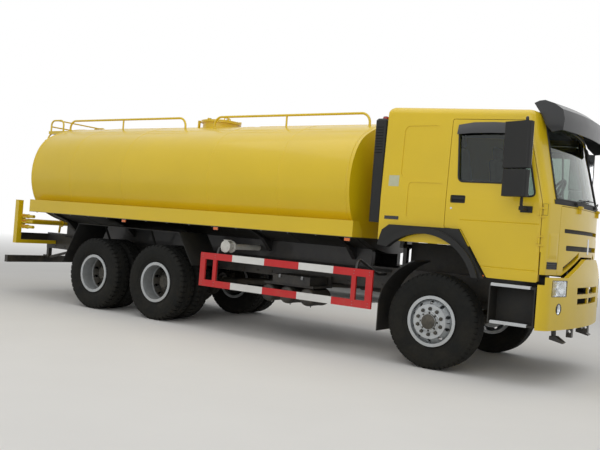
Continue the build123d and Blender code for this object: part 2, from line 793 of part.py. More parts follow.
# Pressed recesses behind the doors and the gutter above them, and the corner skirts beside the flap
recess_depth = 7.0
gutter_depth = 5.0
recess_panels = [  # rear and front station, lower and upper height, corner radius
    (-521, -58, 2189, 2809, 70),
    (-411, 23, 1721, 2139, 40),
]
gutter = (-700, 930, 2899, 2911, 2)
skirt_bottom = bumper_shoulder_z + bumper_gap
skirt_rear = 1180.0


def side_pocket(panel, depth):
    """A shallow pocket in both flanks of the cab."""
    rear, front, low, high, corner = panel
    with BuildPart() as pocket:
        for side in (-1, 1):
            outline = side_outline(side * 900, [(rear, low), (front, low), (front, high), (rear, high)], corner, 0)
            add(through_side(outline, side, 400))
        add(cab_form(depth, cab_floor_z - 10), mode=Mode.SUBTRACT)
    return pocket.part


with BuildPart() as corner_skirts:
    add(cab_form(0, skirt_bottom))
    add(cab_form(cab_wall, skirt_bottom - 10), mode=Mode.SUBTRACT)
    skirt_width = cab_half_width - flap_half_width - panel_gap
    with Locations(*[at(skirt_rear + 150, side * (cab_half_width - skirt_width / 2), (skirt_bottom + cab_floor_z) / 2) for side in (-1, 1)]):
        Box(300, skirt_width, cab_floor_z - skirt_bottom, mode=Mode.INTERSECT)

# Cab shell: hollow body with its floor, bulkhead, engine tunnel and front corner panels
bulkhead_inset = 96.0
with BuildPart() as bulkhead:
    add(cab_form(cab_wall, cab_floor_z))
    add(cab_form(bulkhead_inset, cab_floor_z - 10), mode=Mode.SUBTRACT)
    with Locations(at(1250, 0, (cab_floor_z + flap_top + 60) / 2)):
        Box(300, 2 * (cab_half_width - cab_wall), flap_top + 60 - cab_floor_z, mode=Mode.INTERSECT)

with BuildPart() as cab_shell:
    add(cab_outer)
    add(cab_lining, mode=Mode.SUBTRACT)
    add(bulkhead.part)
    with Locations(at(260, 0, (cab_floor_z + tunnel_top) / 2)):
        Box(2040, 2 * tunnel_half_width, tunnel_top - cab_floor_z)
    with Locations(at(240, 0, (cab_floor_z - 20 + tunnel_top - 30) / 2)):
        Box(2100, 2 * (tunnel_half_width - 30), tunnel_top - 30 - cab_floor_z + 20, mode=Mode.SUBTRACT)
    add(screen_tool.part, mode=Mode.SUBTRACT)
    for side in (-1, 1):
        opening = side_outline(side * 900, door_points, 25, panel_gap)
        add(through_side(opening, side, 400), mode=Mode.SUBTRACT)
    add(flap_recess.part, mode=Mode.SUBTRACT)
    add(corner_skirts.part)
    for panel in recess_panels:
        add(side_pocket(panel, recess_depth), mode=Mode.SUBTRACT)
    add(side_pocket(gutter, gutter_depth), mode=Mode.SUBTRACT)
    for side in (-1, 1):
        with Locations(at(flap_hinge_x, side * flap_hinge_y, flap_hinge_z, (90, 0, 0))):
            Cylinder(flap_pin_radius, 90)
        for offset_y in (-38, 38):
            with Locations(at(flap_hinge_x - 20, side * flap_hinge_y + offset_y, flap_hinge_z + 8)):
                Box(54, 14, 24)
        for height in door_hinge_heights:
            with Locations(at(door_hinge_x, side * (cab_half_width + door_hinge_out), height)):
                Cylinder(door_pin_radius, 110)
            for offset_z in (-46, 46):
                with BuildSketch(level(height + offset_z - 8)):
                    with BuildLine():
                        Polyline(*[(x, side * y) for x, y in door_lug_profile], close=True)
                    make_face()
                extrude(amount=16)
save(cab_shell, "cab_shell")

# Doors with their glass, each cut from the cab's own wall
door_creases = [1235, 1733]
crease_size = 7.0
glass_inset = 20.0
glass_thickness = 6.0
pane_outer = cab_form(glass_inset, cab_waist_z - 10)
pane_inner = cab_form(glass_inset + glass_thickness, cab_waist_z - 20)
for name, side in sides:
    opening = side_outline(side * 900, door_points, 25, 0)
    window = side_outline(side * 900, window_points, 28, 0)
    pane = side_outline(side * 900, window_points, 28, -seat_gap)
    with BuildPart() as door:
        add(through_side(opening, side, 400))
        add(door_outer, mode=Mode.INTERSECT)
        add(door_lining, mode=Mode.SUBTRACT)
        add(through_side(window, side, 400), mode=Mode.SUBTRACT)
        for height in door_creases:
            with Locations(at(730, side * cab_half_width, height, (45, 0, 0))):
                Box(940, crease_size, crease_size, mode=Mode.SUBTRACT)
        handle_y = side * cab_half_width
        with Locations(at(217, handle_y, 1964)):
            Box(172, 44, 84, mode=Mode.SUBTRACT)
        with Locations(at(225, handle_y - side * 8, 1976)):
            Box(156, 12, 30)
        for height in door_hinge_heights:
            with Locations(at(door_hinge_x - 20, side * (cab_half_width + 7), height)):
                Box(40, 14, 60)
            with Locations(at(door_hinge_x, side * (cab_half_width + door_hinge_out), height)):
                Cylinder(12, 60)
                Cylinder(door_pin_radius + pin_gap, 60, mode=Mode.SUBTRACT)
    save(door, f"door_{name}")
    with BuildPart() as door_glass:
        add(through_side(pane, side, 400))
        add(pane_outer, mode=Mode.INTERSECT)
        add(pane_inner, mode=Mode.SUBTRACT)
    save(door_glass, f"door_glass_{name}")

with BuildPart() as windscreen:
    extrude(front_outline_of(700, screen_points, 60, -seat_gap), amount=900)
    add(pane_outer, mode=Mode.INTERSECT)
    add(pane_inner, mode=Mode.SUBTRACT)
save(windscreen, "windscreen")

# Front flap with three rows of slots, and the black mesh behind them
flap_skin = 40.0
mesh_thickness = 6.0
slot_rows = [  # height, half width, slot height
    (1690, 760, 46),
    (1503, 700, 58),
]
slot_radius = 12.0
arch_slot_inner = 330.0
arch_slot_outer = 740.0
arch_slot_lift = bumper_gap + 28
arch_slot_height = 54.0


def flap_slots(grow):
    """The flap's slots in front view, grown all round: two level rows and one along each flank of the arch."""
    with BuildSketch(across(900)) as slots:
        for height, half, slot in slot_rows:
            with Locations((0, height)):
                Rectangle(2 * (half + grow), slot + 2 * grow)
        fillet(slots.vertices(), slot_radius)
    with BuildSketch(across(900)) as arch_slots:
        for side in (-1, 1):
            with BuildLine():
                Polyline(
                    (side * arch_slot_inner, bumper_top(arch_slot_inner) + arch_slot_lift),
                    (side * arch_slot_outer, bumper_top(arch_slot_outer) + arch_slot_lift),
                    (side * arch_slot_outer, bumper_top(arch_slot_outer) + arch_slot_lift + arch_slot_height),
                    (side * arch_slot_inner, bumper_top(arch_slot_inner) + arch_slot_lift + arch_slot_height),
                    close=True,
                )
            make_face()
        if grow:
            offset(amount=grow, kind=Kind.INTERSECTION)
    return slots.sketch + arch_slots.sketch


with BuildPart() as front_flap:
    extrude(front_outline_of(900, flap_points, 12, 0), amount=700)
    add(cab_form(0, 1150), mode=Mode.INTERSECT)
    add(cab_form(flap_skin, 1140), mode=Mode.SUBTRACT)
    extrude(flap_slots(0), amount=700, mode=Mode.SUBTRACT)
    for side in (-1, 1):
        with Locations(at(flap_hinge_x - 20, side * flap_hinge_y, flap_hinge_z - 36)):
            Box(40, 24, 60)
        with Locations(at(flap_hinge_x, side * flap_hinge_y, flap_hinge_z, (90, 0, 0))):
            Cylinder(11, 40)
            Cylinder(flap_pin_radius + pin_gap, 60, mode=Mode.SUBTRACT)
save(front_flap, "front_flap")

with BuildPart() as flap_mesh:
    extrude(flap_slots(14), amount=700)
    add(cab_form(flap_skin, 1150), mode=Mode.INTERSECT)
    add(cab_form(flap_skin + mesh_thickness, 1140), mode=Mode.SUBTRACT)
save(flap_mesh, "flap_mesh")

# Sun visor: a thin blade turned about the centre of the windscreen's arc
visor_half_angle = degrees(asin(960 / cab_front_arc))
visor_axis_x = cab_roof_front - cab_front_arc
visor_blade = [(60, 2960), (300, 2800), (292, 2788), (52, 2946)]  # forward of the roof's front edge, height
with BuildPart() as sun_visor:
    with BuildSketch(Plane(origin=(front_axle_x + visor_axis_x, 0, 0), x_dir=(cos(radians(visor_half_angle)),
                     -sin(radians(visor_half_angle)), 0),
                     z_dir=(-sin(radians(visor_half_angle)), -cos(radians(visor_half_angle)), 0))):
        with BuildLine():
            Polyline(*[(cab_front_arc + x, z) for x, z in visor_blade], close=True)
        make_face()
    revolve(axis=Axis((front_axle_x + visor_axis_x, 0, 0), (0, 0, 1)), revolution_arc=2 * visor_half_angle)
    for angle in (-12.5, -6.3, 0, 6.3, 12.5):
        with Locations(at(visor_axis_x, 0, 0, (0, 0, angle)) * Location((cab_front_arc + 50, 0, 2925), (0, 15, 0))):
            Box(190, 14, 24)
    add(cab_outer, mode=Mode.SUBTRACT)
save(sun_visor, "sun_visor")

# Wheel-arch flares on the cab, with a stepped lip
arch_lip = [(-590, 1358), (-166, 1544), (473, 1101)]
arch_edge = [(-745, 1380), (-690, 1560), (-600, 1627), (262, 1627), (594, 1101)]
with BuildPart() as cab_arches:
    for side in (-1, 1):
        with BuildSketch(along(side * cab_half_width)):
            with BuildLine():
                ThreePointArc(*arch_lip)
                Polyline(arch_lip[0], *arch_edge, arch_lip[2])
            make_face()
        extrude(amount=-side * 44)
        with BuildSketch(along(side * cab_half_width)):
            with BuildLine():
                ThreePointArc(*arch_lip)
                Line(arch_lip[0], (-655, 1395))
                ThreePointArc((-655, 1395), (-160, 1612), (545, 1101))
                Line((545, 1101), arch_lip[2])
            make_face()
        extrude(amount=-side * 98)
save(cab_arches, "cab_arches")

# Air intake tower behind the cab, louvred on its outer side, with a lamp on its cap
tower_x = cab_rear - 85
tower_y = -1010.0
tower_bottom = 1645.0
tower_top = 2905.0
tower_length = 150.0
tower_width = 240.0
with BuildPart() as intake_tower:
    with Locations(at(tower_x, tower_y, (tower_bottom + tower_top) / 2)):
        Box(tower_length, tower_width, tower_top - tower_bottom)
    fillet(intake_tower.edges().filter_by(Axis.Z), 30)
    chamfer(intake_tower.faces().sort_by(Axis.Z)[-1].edges(), 24)
    for row in range(10):
        with Locations(at(tower_x, tower_y - tower_width / 2, tower_top - 110 - row * 34, (30, 0, 0))):
            Box(tower_length - 50, 18, 8, mode=Mode.SUBTRACT)
    with Locations(at(tower_x, tower_y, tower_top + 16)):
        Cylinder(32, 40)
    for height in (1800, 2700):
        with Locations(at(cab_rear - 5, tower_y, height)):
            Box(10, 160, 60)
save(intake_tower, "intake_tower")

# Mirrors: two housings on a bent tube that stands out from each door
for name, side in sides:
    with BuildPart() as mirror_set:
        for y, bottom, top, half in ((1385, 2300, 2790, 155), (1385, 2003, 2285, 145)):
            with Locations(at(935, side * y, (bottom + top) / 2, (0, 0, side * 15))):
                Box(2 * half, 100, top - bottom)
        fillet(mirror_set.edges().filter_by(Axis.Z), 30)
        add(tube_run([(1000, side * 1152, 1885), (1000, side * 1345, 1885), (1000, side * 1345, 2850),
                      (925, side * 1115, 2825)], 16, 50))
        with Locations(at(1000, side * 1156, 1885)):
            Box(130, 12, 70)
        add(door_outer, mode=Mode.SUBTRACT)
    save(mirror_set, f"mirrors_{name}")

# Cab interior
with BuildPart() as dashboard:
    with Locations(at(1135, 0, 1850)):
        Box(210, 2 * (cab_half_width - cab_wall) - 40, 260)
    fillet(dashboard.edges().filter_by(Axis.Y).group_by(Axis.Z)[-1], 60)
    add(cab_form(bulkhead_inset + seat_gap, cab_floor_z + 60), mode=Mode.INTERSECT)

seat_floor = cab_floor_z + cab_wall
with BuildPart() as seats:
    for side in (-1, 1):
        with Locations(at(330, side * 700, seat_floor + 150)):
            Box(380, 380, 300)
        with Locations(at(350, side * 700, seat_floor + 370)):
            Box(520, 500, 140)
        with Locations(at(60, side * 700, seat_floor + 760, (0, -10, 0))):
            Box(130, 500, 760)
        with Locations(at(5, side * 700, seat_floor + 1210, (0, -10, 0))):
            Box(100, 300, 200)
    with Locations(at(cab_rear + cab_wall + 250, 0, seat_floor + 360)):
        Box(500, 2 * (cab_half_width - cab_wall) - 100, 180)
    with Locations(at(cab_rear + cab_wall + 250, 0, seat_floor + 150)):
        Box(500, 2 * (cab_half_width - cab_wall) - 100, 300)
        Box(502, 2 * tunnel_half_width + 1, 300, mode=Mode.SUBTRACT)
save(seats, "seats")

wheel_tilt = 28.0
with dashboard:
    with BuildSketch(Plane(origin=(front_axle_x + 800, 700, 2180), x_dir=(0, 1, 0), z_dir=(-sin(radians(60)), 0, cos(radians(60))))):
        Circle(225)
        Circle(200, mode=Mode.SUBTRACT)
        Rectangle(420, 44)
        with Locations((0, -105)):
            Rectangle(44, 210)
        Circle(70)
    extrude(amount=26)
    add(tube_run([(790, 700, 2188), (1120, 700, 1930)], 26, 10))
save(dashboard, "dashboard")

# Bumper: a wrapped shell whose upper edge rises in an arch, with slots and lamp pockets
def bumper_form(inset, bottom, top):
    """The bumper's closed outline shrunk by an inset, between two heights."""
    with BuildPart() as form:
        outline = arched_outline(bottom, bumper_rear - 300, bumper_front - inset, body_half_width - inset, bumper_arc,
                                 bumper_corner_radius - inset)
        extrude(outline, amount=top - bottom)
    return form.part


lamp_bottom = 979.0
lamp_top = 1150.0
bumper_slots = [(1033, 940, 78), (916, 900, 66)]  # height, width, slot height
with BuildPart() as lamp_window:
    with BuildSketch(across(1315)):
        for side in (-1, 1):
            with Locations((side * 1010, (lamp_bottom + lamp_top) / 2)):
                Rectangle(480, lamp_top - lamp_bottom)
    extrude(amount=300)
with BuildPart() as front_bumper:
    add(bumper_form(0, bumper_bottom, 1400))
    add(bumper_form(bumper_wall, bumper_bottom - 10, 1410), mode=Mode.SUBTRACT)
    with BuildSketch(across(1000)):
        with BuildLine():
            Polyline((-1300, bumper_top(1300)), *[(y, bumper_top(y)) for y in arch_stations], (1300, bumper_top(1300)),
                     (1300, 1500), (-1300, 1500), close=True)
        make_face()
    extrude(amount=600, mode=Mode.SUBTRACT)
    with Locations(at(1200, 0, 1098 + 200)):
        Box(124, 2600, 400, mode=Mode.SUBTRACT)
    with Locations(at(bumper_rear - 200, 0, 1000)):
        Box(400, 2600, 1000, mode=Mode.SUBTRACT)
    add(lamp_window.part, mode=Mode.SUBTRACT)
    with BuildSketch(across(1300)):
        for height, width, slot in bumper_slots:
            with Locations((0, height)):
                Rectangle(width, slot)
        for side in (-1, 1):
            with Locations((side * 930, 846)):
                Circle(62)
    extrude(amount=200, mode=Mode.SUBTRACT)
    for height, width, slot in bumper_slots:
        with Locations(at(bumper_front - bumper_wall / 2, 0, height)):
            Box(bumper_wall / 2, 60, slot + 12)
save(front_bumper, "front_bumper")

# Bumper mounts with their tow bores, and the flushing nozzles below the bumper
tow_x = 1355.0
tow_z = 570.0
tow_bore_radius = 20.0
nozzle_y = 600.0
with BuildPart() as bumper_mounts:
    for side in (-1, 1):
        with Locations(at(1270, side * 385, 900)):
            Box(240, 70, 160)
        with Locations(at(tow_x, side * 385, 590)):
            Box(60, 70, 170)
        with Locations(at((1150 + tow_x + 30) / 2, side * 385, 740)):
            Box(tow_x + 30 - 1150, 70, 200)
    add(bumper_form(bumper_wall, 300, 1500), mode=Mode.INTERSECT)
    for side in (-1, 1):
        with Locations(at(tow_x, side * 385, tow_z, (90, 0, 0))):
            Cylinder(tow_bore_radius, 70, mode=Mode.SUBTRACT)
        add(tube_run([(1225, side * 400, 690), (1225, side * nozzle_y, 690), (1240, side * nozzle_y, 500)], 26, 60))
        with BuildSketch(along(side * nozzle_y - 60)):
            with BuildLine():
                Polyline((1205, 520), (1275, 520), (1360, 462), (1352, 450), (1262, 470), (1205, 480), close=True)
            make_face()
        extrude(amount=-120)
with frame_rails:
    add(bumper_mounts.part)
save(frame_rails, "frame_rails")

with BuildPart() as headlamps:
    add(bumper_form(3, 800, 1200))
    add(bumper_form(bumper_wall, 790, 1210), mode=Mode.SUBTRACT)
    with BuildSketch(across(1315 + seat_gap)):
        for side in (-1, 1):
            with Locations((side * 1010, (lamp_bottom + lamp_top) / 2)):
                Rectangle(480 - 2 * seat_gap, lamp_top - lamp_bottom - 2 * seat_gap)
            with Locations((side * 930, 846)):
                Circle(62 - seat_gap)
    extrude(amount=300, mode=Mode.INTERSECT)
save(headlamps, "headlamps")

# Steps below the doors: a box with two slotted treads on each side, hung from the frame
step_x = 925.0
step_length = 500.0
step_width = 260.0
tread_heights = [645, 1050]
tread_thickness = 24.0
step_y = 1070.0
with BuildPart() as steps:
    for side in (-1, 1):
        for height in tread_heights:
            with Locations(at(step_x, side * step_y, height)):
                Box(step_length, step_width, tread_thickness)
                with GridLocations(110, 56, 4, 4):
                    Box(78, 26, tread_thickness, mode=Mode.SUBTRACT)
        with Locations(at(step_x, side * (step_y - step_width / 2 + 10), 848)):
            Box(step_length, 20, 430)
        for station in (step_x - step_length / 2 + 7, step_x + step_length / 2 - 7):
            with Locations(at(station, side * step_y, 848)):
                Box(14, step_width, 430)
        with Locations(at(step_x, side * (frame_half_width + 257.5), 900)):
            Box(100, 515, 70)
save(steps, "steps")

# Guards behind the front wheels with hanging flaps
with BuildPart() as front_mudguards:
    for side in (-1, 1):
        with BuildSketch(along(side * 700)):
            with BuildLine():
                ThreePointArc((-250, 1215), (-480, 1070), (-640, 850))
                Line((-640, 850), (-672, 700))
                Line((-672, 700), (-672, 350))
                Line((-672, 350), (-686, 350))
                Line((-686, 350), (-686, 700))
                Line((-686, 700), (-654, 850))
                ThreePointArc((-654, 850), (-492, 1080), (-256, 1230))
                Line((-256, 1230), (-250, 1215))
            make_face()
        extrude(amount=-side * 460)
        with Locations(at(-660, side * 563, 830)):
            Box(40, 276, 60)
save(front_mudguards, "front_mudguards")

# Rear mudguards: one folded sheet over both axles on each side
guard_sheet = 8.0
guard_profile = [(-6400, 665), (-6060, 1310), (-3900, 1310), (-3600, 860)]  # station, height
guard_inside = [(-3609, 860), (-3905, 1302), (-6055, 1302), (-6391, 665)]
with BuildPart() as rear_mudguards:
    for side in (-1, 1):
        with BuildSketch(along(side * 640)):
            with BuildLine():
                Polyline(*guard_profile, *guard_inside, close=True)
            make_face()
        extrude(amount=-side * 610)
        for station in (-6050, -5000, -3950):
            add(tube_run([(station, side * frame_half_width, 1010), (station, side * 560, 1010),
                          (station, side * 720, 1304)], 18, 60))
save(rear_mudguards, "rear_mudguards")

# Side guards: two rails and four uprights in a plane, hung on arms from the frame
guard_front = -733.0
guard_rear = -3452.0
guard_low = 600.0
guard_high = 1065.0
rail_height = 90.0
rail_thickness = 28.0
upright_stations = [-3407, -3190, -990, -778]
with BuildPart() as side_guards:
    for side in (-1, 1):
        for height in (guard_low + rail_height / 2, guard_high - rail_height / 2):
            with Locations(at((guard_front + guard_rear) / 2, side * (body_half_width - rail_thickness / 2), height)):
                Box(guard_front - guard_rear, rail_thickness, rail_height)
        for station in upright_stations:
            with Locations(at(station, side * (body_half_width - rail_thickness / 2), (guard_low + guard_high) / 2)):
                Box(90 if abs(station + 2092) > 1200 else 60, rail_thickness, guard_high - guard_low)
save(side_guards, "side_guards")

with BuildPart() as guard_arms:
    for side in (-1, 1):
        for station in (-3190, -990):
            add(tube_run([(station, side * frame_half_width, 990), (station, side * 640, 990),
                          (station, side * (body_half_width - 90), 1180),
                          (station, side * (body_half_width - 50), 1060), (station, side * (body_half_width - 50), 640)], 20, 60))
            for height in (645, 1020):
                with Locations(at(station, side * (body_half_width - rail_thickness - 6), height)):
                    Box(60, 12, 60)
save(guard_arms, "guard_arms")

# Underrun bar across the tail
with BuildPart() as underrun_bar:
    with Locations(at(-7960, 0, 590)):
        Box(80, 2400, 120)
    for side in (-1, 1):
        with Locations(at(-7870, side * 385, 700)):
            Box(60, 70, 200)
        with Locations(at(-7930, side * 385, 640)):
            Box(120, 70, 60)
        with Locations(at(-7300, side * 385, frame_bottom - 30)):
            Box(90, 60, 60)
        add(tube_run([(-7300, side * 385, 765), (-7900, side * 385, 620)], 24, 10))
    with Locations(at(-7922, 0, 990)):
        Box(44, 2200, 130)
save(underrun_bar, "underrun_bar")

# Tail lamps on the cross bar of the frame
with BuildPart() as tail_lamps:
    for side in (-1, 1):
        with Locations(at(-7972, side * 800, 990)):
            Box(56, 380, 100)
save(tail_lamps, "tail_lamps")
# Air reservoirs across the frame on the right, domed and strapped under a tray with the battery box
reservoir_stations = [-2497, -2193, -1864]
reservoir_radius = 118.0
reservoir_length = 480.0
reservoir_y = -700.0
reservoir_z = 603.0
with BuildPart() as reservoir:
    Cylinder(reservoir_radius, reservoir_length)
    fillet(reservoir.edges().filter_by(GeomType.CIRCLE), 55)
    with Locations((0, 0, -140), (0, 0, 140)):
        Cylinder(reservoir_radius + 4, 36)
with BuildPart() as air_reservoirs:
    for station in reservoir_stations:
        add(reservoir.part.moved(at(station, reservoir_y, reservoir_z, (90, 0, 0))))
    with Locations(at(-2180, -690, 735)):
        Box(800, 420, 30)
    with Locations(at(-2180, -453, 800)):
        Box(800, 56, 160)
    with Locations(at(-2120, -720, 800)):
        Box(600, 420, 100)
    with Locations(at(-2120, -720, 856)):
        Box(620, 440, 14)
save(air_reservoirs, "air_reservoirs")

# Fuel tank with its straps, filler and brackets
fuel_length = 1200.0
fuel_width = 600.0
fuel_height = 560.0
fuel_x = -2100.0
fuel_y = 785.0
fuel_z = 780.0
with BuildPart() as fuel_tank:
    with Locations(at(fuel_x, fuel_y, fuel_z)):
        Box(fuel_length, fuel_width, fuel_height)
    fillet(fuel_tank.edges().filter_by(Axis.X), 120)
    with BuildPart(mode=Mode.PRIVATE) as strap:
        Box(50, fuel_width + 8, fuel_height + 8)
        fillet(strap.edges().filter_by(Axis.X), 124)
    for station in (fuel_x - 400, fuel_x + 400):
        add(strap.part.moved(at(station, fuel_y, fuel_z)))
        with Locations(at(station, frame_half_width + 30, fuel_z + 50)):
            Box(90, 60, 300)
    with Locations(at(fuel_x + 480, fuel_y + 60, fuel_z + fuel_height / 2 + 20)):
        Cylinder(50, 60)
save(fuel_tank, "fuel_tank")

with BuildPart() as silencer:
    with Locations(at(-1230, 740, 740, (90, 0, 0))):
        Cylinder(200, 480)
    with Locations(at(-1230, frame_half_width + 40, 850)):
        Box(120, 80, 90)
save(silencer, "silencer")

# Pump outlet valve beside the frame: a flanged body with a cap, a handwheel and its pipe from the frame
valve_x = -3075.0
valve_y = -1120.0
valve_z = 1171.0
with BuildPart() as pump_valve:
    with Locations(at(valve_x, valve_y, valve_z, (90, 0, 0))):
        Cylinder(62, 140)
    for offset_y in (-62, 62):
        with Locations(at(valve_x, valve_y + offset_y, valve_z, (90, 0, 0))):
            Cylinder(82, 16)
    with Locations(at(valve_x - 20, valve_y, valve_z + 60)):
        Cylinder(34, 60)
    with Locations(at(valve_x - 20, valve_y, valve_z + 86)):
        Cylinder(60, 12)
    with Locations(at(valve_x - 62, valve_y, valve_z - 10)):
        Box(50, 90, 110)
    with Locations(at(valve_x, -(frame_half_width + 1050) / 2, valve_z, (90, 0, 0))):
        Cylinder(40, 1050 - frame_half_width)
save(pump_valve, "pump_valve")
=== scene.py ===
import logging
import math
from dataclasses import dataclass
from enum import Enum
from typing import Iterable, Sequence

import bmesh
import bpy
from mathutils import Matrix, Vector


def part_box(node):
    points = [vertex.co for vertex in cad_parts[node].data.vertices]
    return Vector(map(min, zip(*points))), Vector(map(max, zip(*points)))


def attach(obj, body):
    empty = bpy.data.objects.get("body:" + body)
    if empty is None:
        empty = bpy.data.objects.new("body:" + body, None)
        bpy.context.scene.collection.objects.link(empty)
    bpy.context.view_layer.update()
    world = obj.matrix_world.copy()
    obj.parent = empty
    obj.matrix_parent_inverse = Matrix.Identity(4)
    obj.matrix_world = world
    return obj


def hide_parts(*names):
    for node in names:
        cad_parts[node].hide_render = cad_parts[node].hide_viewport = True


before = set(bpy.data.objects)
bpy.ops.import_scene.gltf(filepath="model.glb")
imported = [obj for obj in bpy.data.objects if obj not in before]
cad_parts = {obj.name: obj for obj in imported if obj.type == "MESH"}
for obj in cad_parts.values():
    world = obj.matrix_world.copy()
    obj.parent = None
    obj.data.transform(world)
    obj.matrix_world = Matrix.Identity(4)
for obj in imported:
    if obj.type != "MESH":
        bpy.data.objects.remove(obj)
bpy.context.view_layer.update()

logging.basicConfig(level=logging.INFO, format="%(message)s")
log = logging.getLogger("tanker")

Pair = tuple[float, float]
Point = tuple[float, float, float]
Tree = bpy.types.NodeTree
Socket = bpy.types.NodeSocket

FRONT_AXLE_MM = 3275.0  # the front axle lies this far ahead of the frame's origin
REAR_AXLES_MM: dict[str, float] = {"middle": -4325.0, "rear": -5675.0}
TYRE_RADIUS_MM = 550.0
SIDES: dict[str, int] = {"left": 1, "right": -1}
DUST = "#8f8268"  # dry road dust
DUST_TOP_M = 1.3  # it thins out up to this height
WAVE_TURN = 6.283  # divides a wave texture's scale, so that a rib comes out as wide as stated
SOFT_EDGE_DEG = 40.0  # a bevel softens the edges that are sharper than this


def spot(x: float, y: float, z: float) -> Vector:
    """Place of a point given in millimetres from the front axle.

    Args:
        x: Station along the truck, forward of the front axle.
        y: Width to the truck's left.
        z: Height above the ground.

    Returns:
        The same point in metres in the frame of the truck.
    """
    return Vector(((FRONT_AXLE_MM + x) / 1000, y / 1000, z / 1000))


def linear(hex_colour: str) -> tuple[float, float, float, float]:
    """Turn an sRGB hex colour such as "#d9b904" into linear red, green, blue and alpha."""
    channels = [int(hex_colour[i : i + 2], 16) / 255 for i in (1, 3, 5)]
    turned = [c / 12.92 if c <= 0.04045 else ((c + 0.055) / 1.055) ** 2.4 for c in channels]
    return (turned[0], turned[1], turned[2], 1.0)


def even(low: float, high: float, steps: int) -> list[float]:
    """Evenly spaced values from low to high, both among them."""
    return [low + (high - low) * k / steps for k in range(steps + 1)]


def circle(count: int, radius: float, start: float = 0.0) -> list[Pair]:
    """Evenly spaced points round a circle, the first one turned on by a share of a step."""
    turns = [2 * math.pi * (i + start) / count for i in range(count)]
    return [(math.cos(turn) * radius, math.sin(turn) * radius) for turn in turns]


def add_node(
    tree: Tree, kind: str, settings: dict | None = None, links: dict | None = None
) -> bpy.types.Node:
    """Add one shader node.

    Args:
        tree: The node tree that takes it.
        kind: Blender's name of the node's type.
        settings: Attributes of the node, or values of its inputs by name or number.
        links: Output sockets that feed its inputs, by name or number.

    Returns:
        The new node.
    """
    node = tree.nodes.new(kind)
    for key, value in (settings or {}).items():
        if isinstance(key, str) and hasattr(node, key):
            setattr(node, key, value)
        else:
            node.inputs[key].default_value = value
    for key, socket in (links or {}).items():
        tree.links.new(socket, node.inputs[key])
    return node


def noise(tree: Tree, place: Socket, scale: float, detail: float, rough: float = 0.5) -> Socket:
    """Cloudy values from 0 to 1 over a place in metres."""
    settings = {"Scale": scale, "Detail": detail, "Roughness": rough}
    return add_node(tree, "ShaderNodeTexNoise", settings, {"Vector": place}).outputs["Fac"]


def ramp(tree: Tree, value: Socket, start: float, end: float, low: float = 0.0, high: float = 1.0) -> Socket:
    """Values from start to end turned into values from low to high, held beyond both ends."""
    limits = {"From Min": start, "From Max": end, "To Min": low, "To Max": high}
    return add_node(tree, "ShaderNodeMapRange", limits, {"Value": value}).outputs["Result"]


def combined(tree: Tree, operation: str, first: Socket, second: Socket) -> Socket:
    """Product, maximum or minimum of two values."""
    return add_node(tree, "ShaderNodeMath", {"operation": operation}, {0: first, 1: second}).outputs[0]


def blend(tree: Tree, share: Socket, low: Sequence[float], high: Sequence[float]) -> Socket:
    """The low colour where the share is 0 and the high colour where it is 1."""
    return add_node(tree, "ShaderNodeMix", {"data_type": "RGBA", 6: low, 7: high}, {0: share}).outputs[2]


def axis_of(tree: Tree, place: Socket, letter: str) -> Socket:
    """One of a place's coordinates."""
    return add_node(tree, "ShaderNodeSeparateXYZ", None, {0: place}).outputs[letter]


# Finishes


